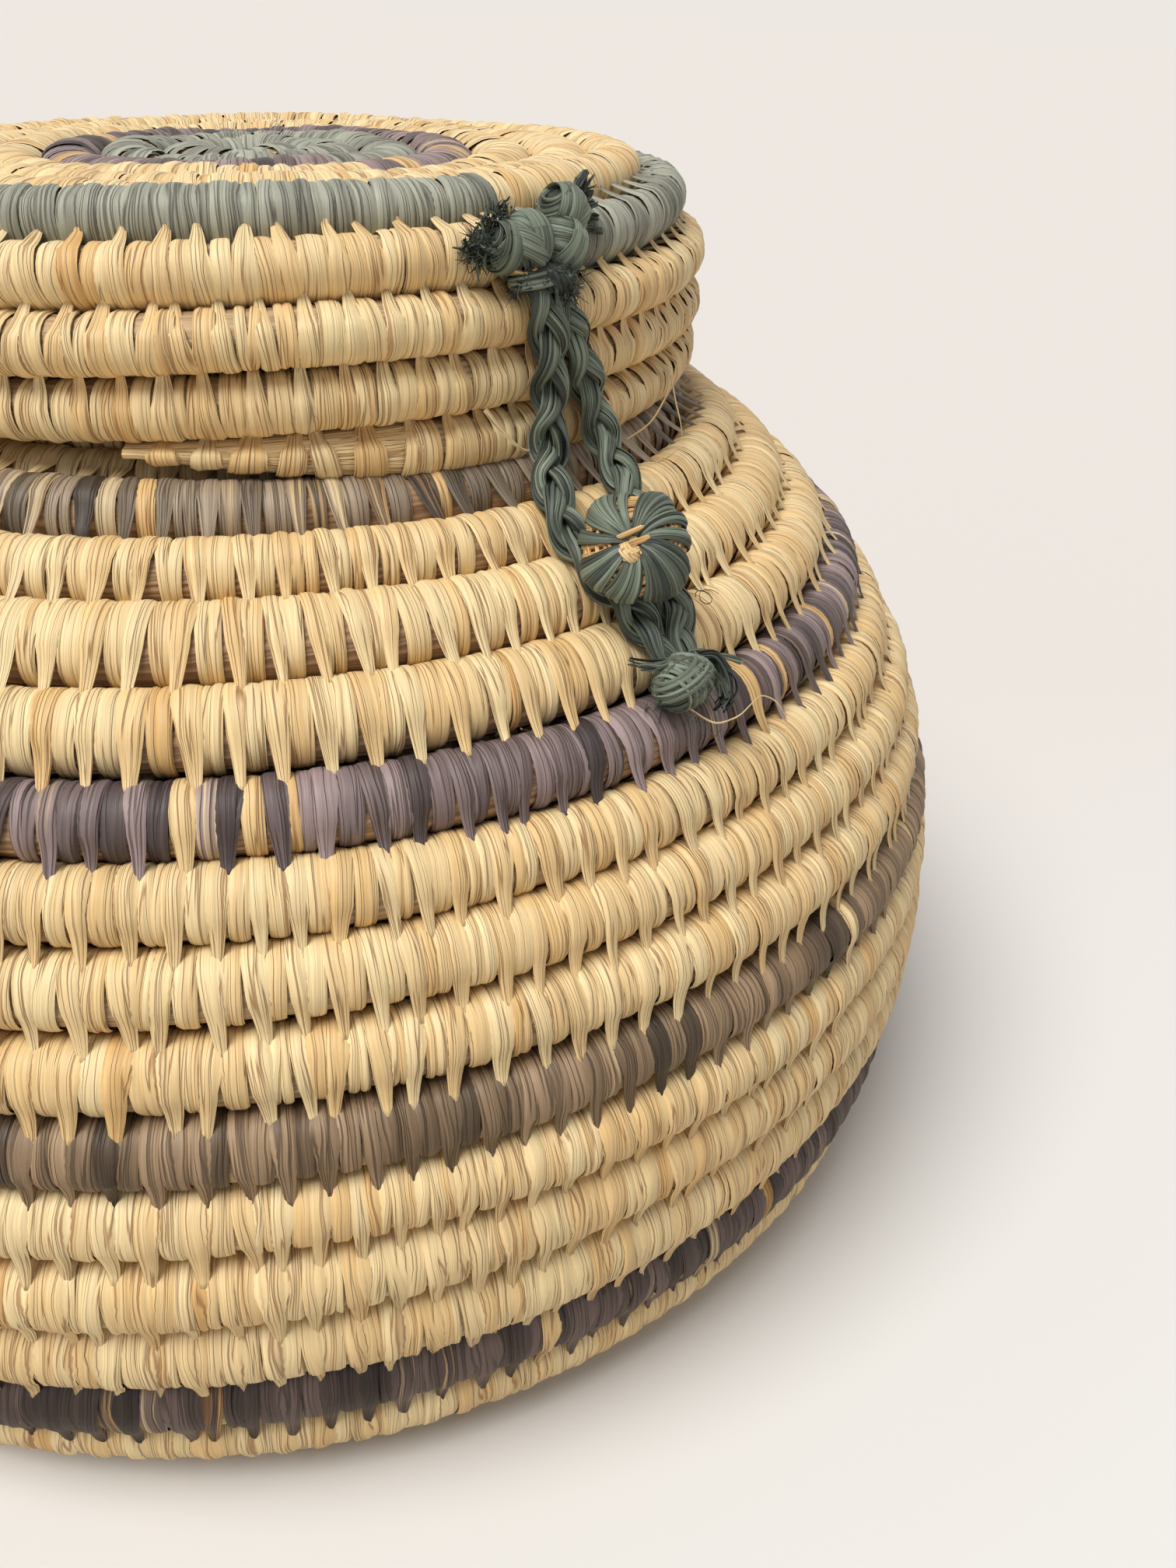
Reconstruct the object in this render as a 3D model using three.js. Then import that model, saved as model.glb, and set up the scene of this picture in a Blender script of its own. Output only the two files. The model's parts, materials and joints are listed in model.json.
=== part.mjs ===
// Lidded coiled basket with a plaited loop-and-button closure.
// Units are millimetres, +Z is up, and the closure faces -Y.
// The origin is under the middle of the base, on the surface the basket stands on.
//
// The basket is one long coil of grass wrapped with raffia. It starts in the
// middle of the base, winds outwards, turns up the wall and ends in a plain neck.
// The lid is a second coil, wound the same way round from the middle of its top.
// Each dyed stretch of coil is its own piece, and a turn is counted from the back.

import * as THREE from 'three';

// Clearances
const TURN_GAP = 0.5;         // between one turn of coil and the next
const END_GAP = 0.4;          // between two stretches of coil, end to end
const SEAT_GAP = 0.4;         // between a plait or knot and what it lies on

// The coils
const STEPS = 24;             // sections in one turn of coil
const HALF_TURN_AT = -119.5;  // azimuth in degrees where a turn is half done
const WALL_THICK = 10.4;      // the basket's coil, across the wall
const LID_THICK = 9.4;        // the lid's coil, across its wall
const FLAT_CUT = 0.5;         // how much of the base is worn flat

// The basket's rows, counted in turns from the heel of the base
const BASE_PITCH = 13.2;      // turn to turn on the flat base
const WALL_ROWS = 18.456;     // how many rows share the wall's line
const LOW_THICKER = 3.05;     // how much taller the first rows of the wall are
const LOW_ROWS = 4.2;         // how many rows are thick before the thinner ones
const ROWS_BLEND = 0.6;       // how gradually they change
const COIL_START = 4.0;       // radius where a coil begins
const NECK_END = 16.75;       // the turn where the neck's coil ends
const NECK_THINS = 0.45;      // how many turns before its end it thins

// The wall's line, by the middle of its coil. Its radii are counted outwards and
// inwards from the base's last turn.
const BASE_EDGE = 111.2;      // radius of the base's last turn, at half a turn
const HEEL_OUT = 10.2;
const HEEL_HEIGHT = 13.0;
const BELLY_OUT = 16.2;       // the belly stands upright between two heights
const BELLY_LOW = 38.0;
const BELLY_HIGH = 64.0;
const UPPER_OUT = 8.4;
const UPPER_HEIGHT = 93.0;
const SLOPE_IN = 8.2;
const SLOPE_HEIGHT = 118.2;
const SHOULDER_IN = 31.2;
const SHOULDER_HEIGHT = 137.0;
const NECK_IN = 53.2;         // the neck is upright, and round at its foot
const NECK_FOOT = 20.0;
const NECK_TALL = 34.0;

// The lid's rows, counted in turns from the green edge
const LID_PLAY = 4.4;         // between the neck and the lid's side
const LID_DEEP = 38.4;        // from the shoulder's row to the lid's flat top
const LID_ROUND = 8.5;        // how far the edge turn lies in from the side
const LID_TOP_PITCH = 9.45;   // turn to turn on the flat top
const LID_SIDE_PITCH = 8.3;   // turn to turn on the lid's side
const LID_END = 4.5;          // the turn where the lid's coil ends
const LID_THINS = 0.3;        // how many turns before its end it thins
const LID_LIFT = 1.2;         // how high the lid's coil rides on the shoulder
const LID_TILT = 1.5;         // degrees: the lid sits a little crooked
const LID_TILT_TO = -29.5;    // azimuth in degrees of its higher side

// Where the dyed stretches start and end
const HEEL_ROW = 0;
const PURPLE_LOW = 1;
const NATURAL_LOW = 2;
const OLIVE_ROW = 5;
const NATURAL_MID = 6;
const PURPLE_HIGH = 9;
const NATURAL_HIGH = 10;
const PLUM_ROW = 13;
const NECK_ROW = 14;
const RIM_ROW = 15.5;         // the neck's upper stretch, which ends at the rim
const EDGE_START = 0.42;      // the lid's green edge begins and ends at the knots
const TOP_NATURAL = -2.58;
const TOP_PURPLE = -3.58;

// The closure. Its knots and its places are counted in widths of the plait.
const PLAIT_WIDE = 5.6;
const PLAIT_THICK = 3.6;
const BUTTON_RADIUS = 8.2;
const BUTTON_DEPTH = 9.4;
const BUTTON_TURN = 11.6;     // the row that the button stands on
const BUTTON_SIDE = -0.22;    // sideways from the middle of the closure
const BUTTON_RISE = 14.6;     // from the coil's middle to the button's middle
const SHANK_SIDE = 0.08;      // where the shank's foot is, sideways
const SHANK_RADIUS = 1.7;
const WRAP_THICK = 1.3;

const NATURAL = 0xd9b879;
const CORE_STRAW = 0xcdb48c;
const PURPLE = 0x6e5f64;
const PURPLE_DARK = 0x4b3c4b;
const PLUM = 0x7a6b68;
const OLIVE = 0x736955;
const GREEN = 0x5a6960;
const GREEN_DARK = 0x36423c;

const root = new THREE.Group();
root.name = 'lidded_coiled_basket';

function addPiece(name, geometry, color, roughness) {
  const material = new THREE.MeshStandardMaterial({ color, roughness, metalness: 0 });
  const mesh = new THREE.Mesh(geometry, material);
  mesh.name = name;
  root.add(mesh);
  return mesh;
}

const radians = (degrees) => (degrees * Math.PI) / 180;
const clamp01 = (value) => Math.min(1, Math.max(0, value));
const smooth = (value) => clamp01(value) ** 2 * (3 - 2 * clamp01(value));

// A closed solid through rings of points, each ring with the same count
function loft(rings) {
  const sides = rings[0].length;
  const positions = [];
  rings.forEach((ring) => ring.forEach((p) => positions.push(p.x, p.y, p.z)));
  const index = [];
  for (let i = 0; i < rings.length - 1; i += 1) {
    for (let j = 0; j < sides; j += 1) {
      const a = i * sides + j;
      const b = i * sides + ((j + 1) % sides);
      index.push(a, b, a + sides, b, b + sides, a + sides);
    }
  }
  const last = (rings.length - 1) * sides;
  for (let j = 1; j < sides - 1; j += 1) {
    index.push(0, j + 1, j);
    index.push(last, last + j, last + j + 1);
  }
  let volume = 0;
  const at = (k) => new THREE.Vector3().fromArray(positions, 3 * index[k]);
  for (let k = 0; k < index.length; k += 3) {
    volume += at(k).dot(at(k + 1).cross(at(k + 2)));
  }
  if (volume < 0) {
    for (let k = 0; k < index.length; k += 3) {
      [index[k + 1], index[k + 2]] = [index[k + 2], index[k + 1]];
    }
  }
  const geometry = new THREE.BufferGeometry();
  geometry.setAttribute('position', new THREE.Float32BufferAttribute(positions, 3));
  geometry.setIndex(index);
  geometry.computeVertexNormals();
  return geometry;
}

// The basket's coil is drawn by its middle, in the plane through the axis: x is
// the radius and y the height. The wall is a smooth curve from heel to neck.
const BASE_HEIGHT = WALL_THICK / 2 - FLAT_CUT;
const neckRadius = BASE_EDGE - NECK_IN;
const wallPoint = (out, height) => new THREE.Vector2(BASE_EDGE + out, height);
const wallCurve = new THREE.SplineCurve([
  wallPoint(0, BASE_HEIGHT),
  wallPoint(HEEL_OUT, HEEL_HEIGHT),
  wallPoint(BELLY_OUT, BELLY_LOW),
  wallPoint(BELLY_OUT, BELLY_HIGH),
  wallPoint(UPPER_OUT, UPPER_HEIGHT),
  wallPoint(-SLOPE_IN, SLOPE_HEIGHT),
  wallPoint(-SHOULDER_IN, SHOULDER_HEIGHT),
  wallPoint(-NECK_IN + 0.42 * NECK_FOOT, SHOULDER_HEIGHT + 0.18 * NECK_FOOT),
  wallPoint(-NECK_IN + 0.05 * NECK_FOOT, SHOULDER_HEIGHT + 0.5 * NECK_FOOT),
  wallPoint(-NECK_IN, SHOULDER_HEIGHT + NECK_FOOT),
  wallPoint(-NECK_IN, SHOULDER_HEIGHT + NECK_TALL),
]);
wallCurve.arcLengthDivisions = 800;
const wallLength = wallCurve.getLength();
const rowHeight = (wallLength - LOW_ROWS * LOW_THICKER) / WALL_ROWS;

function bodyCentre(turn) {
  if (turn < -0.5) {
    return new THREE.Vector2(BASE_EDGE + BASE_PITCH * (turn + 0.5), BASE_HEIGHT);
  }
  const rows = turn + 0.5;
  const thickRows = -ROWS_BLEND * Math.log(
    Math.exp(-rows / ROWS_BLEND) + Math.exp(-LOW_ROWS / ROWS_BLEND));
  const along = rows * rowHeight + thickRows * LOW_THICKER;
  return wallCurve.getPointAt(clamp01(along / wallLength));
}

// The lid's coil runs flat, turns down over the edge and follows the side, which
// goes over the neck with its play
const sideRadius = neckRadius + WALL_THICK / 2 + LID_PLAY + LID_THICK / 2;
const lidEdge = sideRadius - LID_ROUND;
const lidTop = SHOULDER_HEIGHT + LID_DEEP;
const sidePoint = (inwards, down) => new THREE.Vector2(sideRadius - inwards, lidTop - down);
const sideCurve = new THREE.SplineCurve([
  sidePoint(LID_ROUND, 0),
  sidePoint(0.29 * LID_ROUND, 0.69 * LID_ROUND),
  sidePoint(0.06 * LID_ROUND, 1.65 * LID_ROUND),
  sidePoint(0, 2.64 * LID_ROUND),
  sidePoint(-0.035 * LID_ROUND, 4.4 * LID_ROUND),
]);
sideCurve.arcLengthDivisions = 400;
const sideLength = sideCurve.getLength();

function lidCentre(turn) {
  if (turn < 0.5) {
    return new THREE.Vector2(lidEdge + LID_TOP_PITCH * (turn - 0.5), lidTop);
  }
  return sideCurve.getPointAt(clamp01((LID_SIDE_PITCH * (turn - 0.5)) / sideLength));
}

// One section of coil: six sides, its points towards the turns beside it.
// It thins towards its end on the side away from the turn before.
function coilSection(centreAt, turn, clockwise, thick, size) {
  const centre = centreAt(turn);
  const step = centreAt(turn + 0.5).sub(centreAt(turn - 0.5));
  const half = (step.length() - TURN_GAP) / 2;
  const along = step.normalize();
  const across = new THREE.Vector2(-along.y, along.x).multiplyScalar(thick / 2);
  const middle = centre.clone().addScaledVector(along, -(1 - size) * half);
  const corners = [[1, 0], [0.5, 1], [-0.5, 1], [-1, 0], [-0.5, -1], [0.5, -1]];
  const sign = clockwise ? -1 : 1;
  const azimuth = radians(HALF_TURN_AT) + sign * 2 * Math.PI * (turn - 0.5);
  return corners.map(([u, v]) => {
    const p = middle.clone();
    p.addScaledVector(along, u * half * size).addScaledVector(across, v * (0.4 + 0.6 * size));
    return new THREE.Vector3(p.x * Math.cos(azimuth), p.x * Math.sin(azimuth), p.y);
  });
}

// A stretch of coil from one turn to another, as one unbroken tube
function coil(centreAt, from, to, options) {
  const { clockwise = false, thick, thinFrom = Infinity } = options;
  const gapTurns = (turn) => END_GAP / 2 / (2 * Math.PI * Math.max(centreAt(turn).x, 8));
  const start = from + gapTurns(from);
  const end = to - gapTurns(to);
  const turns = [start];
  for (let n = Math.floor(start * STEPS) + 1; n / STEPS < end - 0.2 / STEPS; n += 1) {
    if (n / STEPS > start + 0.2 / STEPS) turns.push(n / STEPS);
  }
  turns.push(end);
  const rings = turns.map((turn) => {
    const size = 1 - 0.7 * smooth((turn - thinFrom) / (to - thinFrom));
    return coilSection(centreAt, turn, clockwise, thick, thinFrom < turn ? size : 1);
  });
  return { geometry: loft(rings), rings, turns };
}

// The least gap between one turn of a tube and the next, on its own points
function leastGap(piece) {
  let least = Infinity;
  piece.turns.forEach((turn, i) => {
    const j = piece.turns.findIndex((other) => Math.abs(other - turn - 1) < 0.01);
    if (j < 0) return;
    piece.rings[i].forEach((p) => {
      piece.rings[j].forEach((q) => {
        least = Math.min(least, p.distanceTo(q));
      });
    });
  });
  return least;
}

const body = { thick: WALL_THICK };
const baseTurns = (BASE_EDGE - COIL_START) / BASE_PITCH;
const coils = {};

function addCoil(name, centreAt, from, to, color, options) {
  coils[name] = coil(centreAt, from, to, options);
  return addPiece(name, coils[name].geometry, color, 0.62);
}

const base = addCoil('base_coil', bodyCentre, -0.5 - baseTurns, HEEL_ROW, NATURAL, body);
addCoil('wall_heel_natural', bodyCentre, HEEL_ROW, PURPLE_LOW, NATURAL, body);
addCoil('wall_low_purple', bodyCentre, PURPLE_LOW, NATURAL_LOW, PURPLE_DARK, body);
addCoil('wall_low_natural', bodyCentre, NATURAL_LOW, OLIVE_ROW, NATURAL, body);
addCoil('wall_middle_olive', bodyCentre, OLIVE_ROW, NATURAL_MID, OLIVE, body);
addCoil('wall_middle_natural', bodyCentre, NATURAL_MID, PURPLE_HIGH, NATURAL, body);
addCoil('wall_high_purple', bodyCentre, PURPLE_HIGH, NATURAL_HIGH, PURPLE, body);
addCoil('wall_high_natural', bodyCentre, NATURAL_HIGH, PLUM_ROW, NATURAL, body);
addCoil('shoulder_plum', bodyCentre, PLUM_ROW, NECK_ROW, PLUM, body);
addCoil('neck_natural', bodyCentre, NECK_ROW, RIM_ROW, NATURAL, body);
addCoil('neck_rim', bodyCentre, RIM_ROW, NECK_END, NATURAL,
  { ...body, thinFrom: NECK_END - NECK_THINS });

// The base is worn flat where it stands
const flatten = (geometry, height) => {
  const p = geometry.attributes.position;
  for (let i = 0; i < p.count; i += 1) p.setZ(i, Math.max(p.getZ(i), height));
  geometry.computeVertexNormals();
};
flatten(base.geometry, 0);

// The lid
const lid = { clockwise: true, thick: LID_THICK };
const lidStart = 0.5 - (lidEdge - COIL_START) / LID_TOP_PITCH;
const lidPieces = [
  addCoil('lid_middle_green', lidCentre, lidStart, TOP_PURPLE, GREEN, lid),
  addCoil('lid_ring_purple', lidCentre, TOP_PURPLE, TOP_NATURAL, PURPLE, lid),
  addCoil('lid_top_natural', lidCentre, TOP_NATURAL, EDGE_START, NATURAL, lid),
  addCoil('lid_edge_green', lidCentre, EDGE_START, EDGE_START + 1, GREEN, lid),
  addCoil('lid_side_natural', lidCentre, EDGE_START + 1, LID_END, NATURAL,
    { ...lid, thinFrom: LID_END - LID_THINS }),
];
const tiltAxis = new THREE.Vector3(
  Math.cos(radians(LID_TILT_TO - 90)),
  Math.sin(radians(LID_TILT_TO - 90)),
  0,
);
const seatLid = new THREE.Matrix4().makeTranslation(0, 0, lidTop + LID_LIFT)
  .multiply(new THREE.Matrix4().makeRotationAxis(tiltAxis, radians(LID_TILT)))
  .multiply(new THREE.Matrix4().makeTranslation(0, 0, -lidTop));
lidPieces.forEach((piece) => piece.geometry.applyMatrix4(seatLid));

// The closure. A point on the wall is named by its row, how far it lies to the
// side of the middle, in plait widths, and how far off the middle of the coil.
function onWall(turn, side, rise) {
  const centre = bodyCentre(turn);
  const step = bodyCentre(turn + 0.5).sub(bodyCentre(turn - 0.5)).normalize();
  const radius = centre.x + step.y * rise;
  const azimuth = (side * PLAIT_WIDE) / radius - Math.PI / 2;
  return new THREE.Vector3(
    radius * Math.cos(azimuth),
    radius * Math.sin(azimuth),
    centre.y - step.x * rise,
  );
}

function outFromWall(turn) {
  const step = bodyCentre(turn + 0.5).sub(bodyCentre(turn - 0.5)).normalize();
  return new THREE.Vector3(0, -step.y, -step.x).normalize();
}

// The button is wound over a straw ball on a short shank
const outward = outFromWall(BUTTON_TURN);
const lean = new THREE.Vector3(-0.16, -0.06, -0.02);
const buttonAxis = outward.clone().add(lean).normalize();
const buttonMiddle = onWall(BUTTON_TURN, BUTTON_SIDE, BUTTON_RISE);
const buttonTurnTo = new THREE.Quaternion().setFromUnitVectors(
  new THREE.Vector3(0, 1, 0),
  buttonAxis,
);

function ovalProfile(radius, depth, from, to, steps) {
  const points = [];
  for (let i = 0; i <= steps; i += 1) {
    const angle = radians(from + ((to - from) * i) / steps);
    points.push(new THREE.Vector2(
      Math.max(radius * Math.cos(angle), 0),
      (depth / 2) * Math.sin(angle),
    ));
  }
  return points;
}

// A straight round piece from one point to another
function rod(from, to, thick, thin, sides) {
  const way = to.clone().sub(from);
  const geometry = new THREE.CylinderGeometry(thin, thick, way.length(), sides);
  geometry.applyQuaternion(new THREE.Quaternion().setFromUnitVectors(
    new THREE.Vector3(0, 1, 0), way.clone().normalize()));
  const middle = from.clone().addScaledVector(way, 0.5);
  geometry.translate(middle.x, middle.y, middle.z);
  return geometry;
}

function placeOnButton(geometry, along = 0) {
  geometry.applyQuaternion(buttonTurnTo);
  const place = buttonMiddle.clone().addScaledVector(buttonAxis, along);
  geometry.translate(place.x, place.y, place.z);
  return geometry;
}

const coreRadius = BUTTON_RADIUS - WRAP_THICK - 0.45;
const coreDepth = BUTTON_DEPTH - 2 * WRAP_THICK - 0.6;
addPiece('button_core', placeOnButton(new THREE.LatheGeometry(
  ovalProfile(coreRadius, coreDepth, -90, 90, 8), 16)), CORE_STRAW, 0.75);
const outerWrap = ovalProfile(BUTTON_RADIUS, BUTTON_DEPTH, -62, 66, 9);
const innerWrap = ovalProfile(
  BUTTON_RADIUS - WRAP_THICK, BUTTON_DEPTH - 2 * WRAP_THICK, 66, -62, 7);
addPiece('button_wrap', placeOnButton(new THREE.LatheGeometry(
  [...outerWrap, ...innerWrap, outerWrap[0].clone()], 20)), GREEN, 0.66);
addPiece('button_middle_knot', placeOnButton(new THREE.LatheGeometry(
  ovalProfile(1.9, 2.4, -90, 90, 6), 12), coreDepth / 2 + 1.2 + 0.3), 0xe2c690, 0.7);
const shankFrom = onWall(BUTTON_TURN, SHANK_SIDE, WALL_THICK / 2 + 1.6 * SEAT_GAP);
const shankTo = buttonMiddle.clone().addScaledVector(outward, -coreDepth / 2 - SEAT_GAP);
shankTo.x += SHANK_RADIUS / 2;
addPiece('button_shank', rod(shankFrom, shankTo, SHANK_RADIUS, SHANK_RADIUS, 12),
  GREEN_DARK, 0.7);

// A plait follows a smooth line, wide across the wall and thin off it
function plait(points, out, wide, thick, steps) {
  const line = new THREE.CatmullRomCurve3(points);
  const rings = [];
  for (let i = 0; i <= steps; i += 1) {
    const centre = line.getPointAt(i / steps);
    const tangent = line.getTangentAt(i / steps);
    const off = out(centre).addScaledVector(tangent, -out(centre).dot(tangent)).normalize();
    const side = new THREE.Vector3().crossVectors(tangent, off);
    const ring = [];
    for (let k = 0; k < 8; k += 1) {
      const angle = (k + 0.5) * (Math.PI / 4);
      ring.push(centre.clone()
        .addScaledVector(side, (wide / 2) * Math.cos(angle) * 1.05)
        .addScaledVector(off, (thick / 2) * Math.sin(angle) * 1.05));
    }
    rings.push(ring);
  }
  return loft(rings);
}

const outOf = (p) => new THREE.Vector3(p.x * 0.4, p.y, 0).normalize()
  .multiplyScalar(0.8).add(new THREE.Vector3(0, 0, p.z < SHOULDER_HEIGHT + 13 ? 0.6 : 0));
const lidFace = sideRadius + LID_THICK / 2;
// A point in front of the lid: sideways and down from its top, in plait widths,
// and how far it stands off the lid's face
const onLid = (side, down, rise) => new THREE.Vector3(
  side * PLAIT_WIDE, -(lidFace + rise), lidTop - down * PLAIT_WIDE);
const hang = SEAT_GAP + PLAIT_THICK / 2 + 0.5;
const plaitRise = WALL_THICK / 2 + SEAT_GAP + PLAIT_THICK / 2 + 0.2;

addPiece('loop_left_plait', plait([
  onLid(-0.16, 1.74, hang),
  onLid(-0.1, 3.1, hang),
  onLid(0.02, 4.5, hang),
  onWall(13.25, -0.3, plaitRise + 1.4),
  onWall(12.58, -0.88, plaitRise + 0.2),
  onWall(12.1, -1.02, plaitRise),
  onWall(11.6, -1.01, plaitRise),
  onWall(11.1, -0.82, plaitRise),
  onWall(10.78, -0.52, plaitRise),
  onWall(10.55, -0.46, plaitRise + 0.2),
], outOf, PLAIT_WIDE, PLAIT_THICK, 22), GREEN, 0.66);
addPiece('loop_right_plait', plait([
  onLid(0.96, 1.68, hang),
  onLid(1.42, 3.1, hang),
  onLid(1.82, 4.5, hang),
  onWall(13.25, 1.98, plaitRise + 1.4),
  onWall(12.58, 1.58, plaitRise + 0.2),
  onWall(12.1, 1.34, plaitRise),
  onWall(11.6, 1.12, plaitRise),
  onWall(11.1, 0.86, plaitRise),
  onWall(10.78, 0.66, plaitRise),
  onWall(10.55, 0.64, plaitRise + 0.2),
], outOf, PLAIT_WIDE, PLAIT_THICK, 22), GREEN, 0.66);

// A knot is a swollen ball, drawn in where the strands cross. Its half sizes are
// in plait widths, and its waist lies across x or across z.
function knot(middle, half, waist, waistAcross = 'x', turn = 0) {
  const ball = new THREE.SphereGeometry(1, 16, 10);
  const p = ball.attributes.position;
  for (let i = 0; i < p.count; i += 1) {
    const at = new THREE.Vector3().fromBufferAttribute(p, i);
    const pinch = 1 - waist * Math.exp(-((at[waistAcross] / 0.28) ** 2));
    const wide = new THREE.Vector3(pinch, pinch, pinch);
    wide[waistAcross] = 1;
    at.multiply(half).multiply(wide).multiplyScalar(PLAIT_WIDE);
    p.setXYZ(i, at.x, at.y, at.z);
  }
  ball.rotateX(turn);
  ball.translate(middle.x, middle.y, middle.z);
  return ball;
}

addPiece('knot_top_left', knot(
  onLid(-0.54, 0.43, 0.75), new THREE.Vector3(0.79, 0.61, 0.62), 0.12), GREEN, 0.66);
addPiece('knot_top_right', knot(
  onLid(1.14, 0.2, -0.35), new THREE.Vector3(0.6, 0.58, 0.9), 0.14, 'z'), GREEN, 0.66);
addPiece('knot_top_tie', knot(
  onLid(0.2, 1.36, 1.85), new THREE.Vector3(1.0, 0.42, 0.32), 0.1), GREEN_DARK, 0.7);
addPiece('loop_end_knot', knot(
  onWall(10.05, -0.07, WALL_THICK / 2 + SEAT_GAP + 0.51 * PLAIT_WIDE),
  new THREE.Vector3(1.02, 0.73, 0.78), 0.14, 'x', radians(-45)), GREEN, 0.66);

// Cut ends stand out of the knots as short tufts
const TUFT = 0.5;
addPiece('tuft_top_left', rod(
  onLid(-1.4, 0.36, 0.5), onLid(-2.15, 0.22, -0.4), 0.9 * TUFT * PLAIT_WIDE,
  0.6 * TUFT * PLAIT_WIDE, 8), GREEN_DARK, 0.8);
addPiece('tuft_top_right', rod(
  onLid(1.86, -0.1, -1.6), onLid(2.6, -0.75, -2.6), 0.6 * TUFT * PLAIT_WIDE,
  TUFT * PLAIT_WIDE, 8), GREEN_DARK, 0.8);
addPiece('tuft_end', rod(
  onWall(9.98, 1.0, plaitRise + 0.1), onWall(9.85, 1.9, plaitRise), TUFT * PLAIT_WIDE,
  0.9 * TUFT * PLAIT_WIDE, 8), GREEN_DARK, 0.8);

const gaps = Object.entries(coils).map(([name, piece]) => [name, leastGap(piece)]);
gaps.filter(([, gap]) => Number.isFinite(gap)).forEach(([name, gap]) => {
  console.log(`least gap in ${name}: ${gap.toFixed(2)} mm`);
});

export default root;
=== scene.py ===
import json
import math

import bpy
import numpy as np
from mathutils import Euler, Matrix, Vector

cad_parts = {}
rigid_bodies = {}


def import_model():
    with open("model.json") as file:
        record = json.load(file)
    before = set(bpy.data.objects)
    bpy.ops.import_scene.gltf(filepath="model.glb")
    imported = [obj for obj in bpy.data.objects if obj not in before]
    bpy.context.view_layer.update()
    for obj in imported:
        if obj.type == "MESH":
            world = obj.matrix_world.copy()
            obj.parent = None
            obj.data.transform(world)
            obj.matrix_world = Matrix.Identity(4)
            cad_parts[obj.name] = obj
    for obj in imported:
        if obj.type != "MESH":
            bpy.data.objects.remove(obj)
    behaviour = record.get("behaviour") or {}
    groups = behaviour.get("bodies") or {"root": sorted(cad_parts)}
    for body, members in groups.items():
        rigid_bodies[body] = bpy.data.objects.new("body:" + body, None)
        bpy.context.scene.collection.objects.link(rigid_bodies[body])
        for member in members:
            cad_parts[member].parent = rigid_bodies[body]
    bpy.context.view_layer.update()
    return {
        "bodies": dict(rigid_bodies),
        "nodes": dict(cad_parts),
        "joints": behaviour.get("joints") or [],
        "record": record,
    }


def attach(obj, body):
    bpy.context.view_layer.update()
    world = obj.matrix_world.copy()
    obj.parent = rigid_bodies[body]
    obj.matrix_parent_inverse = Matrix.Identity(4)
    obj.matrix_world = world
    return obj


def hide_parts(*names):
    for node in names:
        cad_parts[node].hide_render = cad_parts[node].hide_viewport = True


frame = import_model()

# Lidded coiled basket with a plaited loop-and-button closure.
# The basket is one long coil of grass, wrapped and sewn with raffia. Here each
# turn of raffia is its own strip: short ones go round one row of the coil, and
# long ones go on into the row before, where they end in a point.
# Lengths are in millimetres until a mesh is made, and +Z is up.

bl_info = {
    "name": "Coiled basket maker",
    "version": (1, 0, 0),
    "blender": (4, 2, 0),
    "location": "3D View > Sidebar > Basket",
    "description": "Winds a lidded raffia basket with a loop-and-button closure",
    "category": "Object",
}

MM = 0.001

# The two coils, as the solids have them. A place along a coil is its turn: the
# basket's wall begins at turn 0, and the lid's top bends into its side at 0.5.
HALF_TURN_AT = -119.5         # azimuth of turn 0.5, in degrees
COIL_START = 4.0              # radius where a coil begins
WALL_THICK = 10.4             # the basket's coil, across the wall
BASE_PITCH = 13.2             # from row to row in the base
BASE_EDGE = 111.2             # radius where the base bends into the wall
FLAT_CUT = 0.5                # how much of the base the floor presses flat
WALL_ROWS = 18.456            # rows along the wall's line
LOW_ROWS = 4.2                # so many of them, at the foot, are thicker
LOW_THICKER = 3.05            # by so much each
ROWS_BLEND = 0.6              # and pass into the others over so many rows
NECK_END = 16.75              # turn where the basket's coil ends
NECK_TAIL = 0.45              # turns over which it grows thinner there
WALL_LINE = ((BASE_EDGE, WALL_THICK / 2 - FLAT_CUT), (121.4, 13), (127.4, 38), (127.4, 64),
             (119.6, 93), (103, 118.2), (80, 136.8), (66.1, 139.2), (58.6, 147), (58, 157),
             (58, 171))
# The shoulder's rows lie a little higher than even rows would
HIGHER_AT = (10, 11, 12, 13, 14, 15, 16)
HIGHER_BY = (0, 0.9, 2.2, 1.4, 1.6, 0.7, 0)
LID_THICK = 9.4               # the lid's coil, across its side
LID_TOP_THINNER = 3.2         # how much thinner it is in the lid's top
LID_TOP = 175.4               # height of the middle of the top's coil
LID_TOP_PITCH = 9.54          # from row to row in the lid's top
LID_EDGE = 64.4               # radius where the top bends into the side
LID_SIDE_PITCH = 8.3          # from row to row in the lid's side
LID_LINE = ((LID_EDGE, LID_TOP), (70.6, 169.5), (73.4, 161.4), (71.9, 153), (71.6, 138))
EDGE_START = 0.42             # turn where the lid's green edge begins
LID_END = 4.54                # turn where the lid's coil ends
LID_TAIL = 0.075              # turns over which it grows thinner there
BASE_START = -0.5 - (BASE_EDGE - COIL_START) / BASE_PITCH
LID_START = 0.5 - (LID_EDGE - COIL_START) / LID_TOP_PITCH

# How the lid sits on the basket
LID_LIFT = -0.5
LID_TILT = 2.1                # degrees
LID_TILT_TO = -28.0           # azimuth of its high side
LID_ASIDE = (1.5, -1.2)


def linear(colour):
    """The linear RGBA of an sRGB hex colour."""
    parts = [((colour >> shift) & 255) / 255 for shift in (16, 8, 0)]
    return [c / 12.92 if c <= 0.04045 else ((c + 0.055) / 1.055) ** 2.4 for c in parts] + [1.0]


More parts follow.
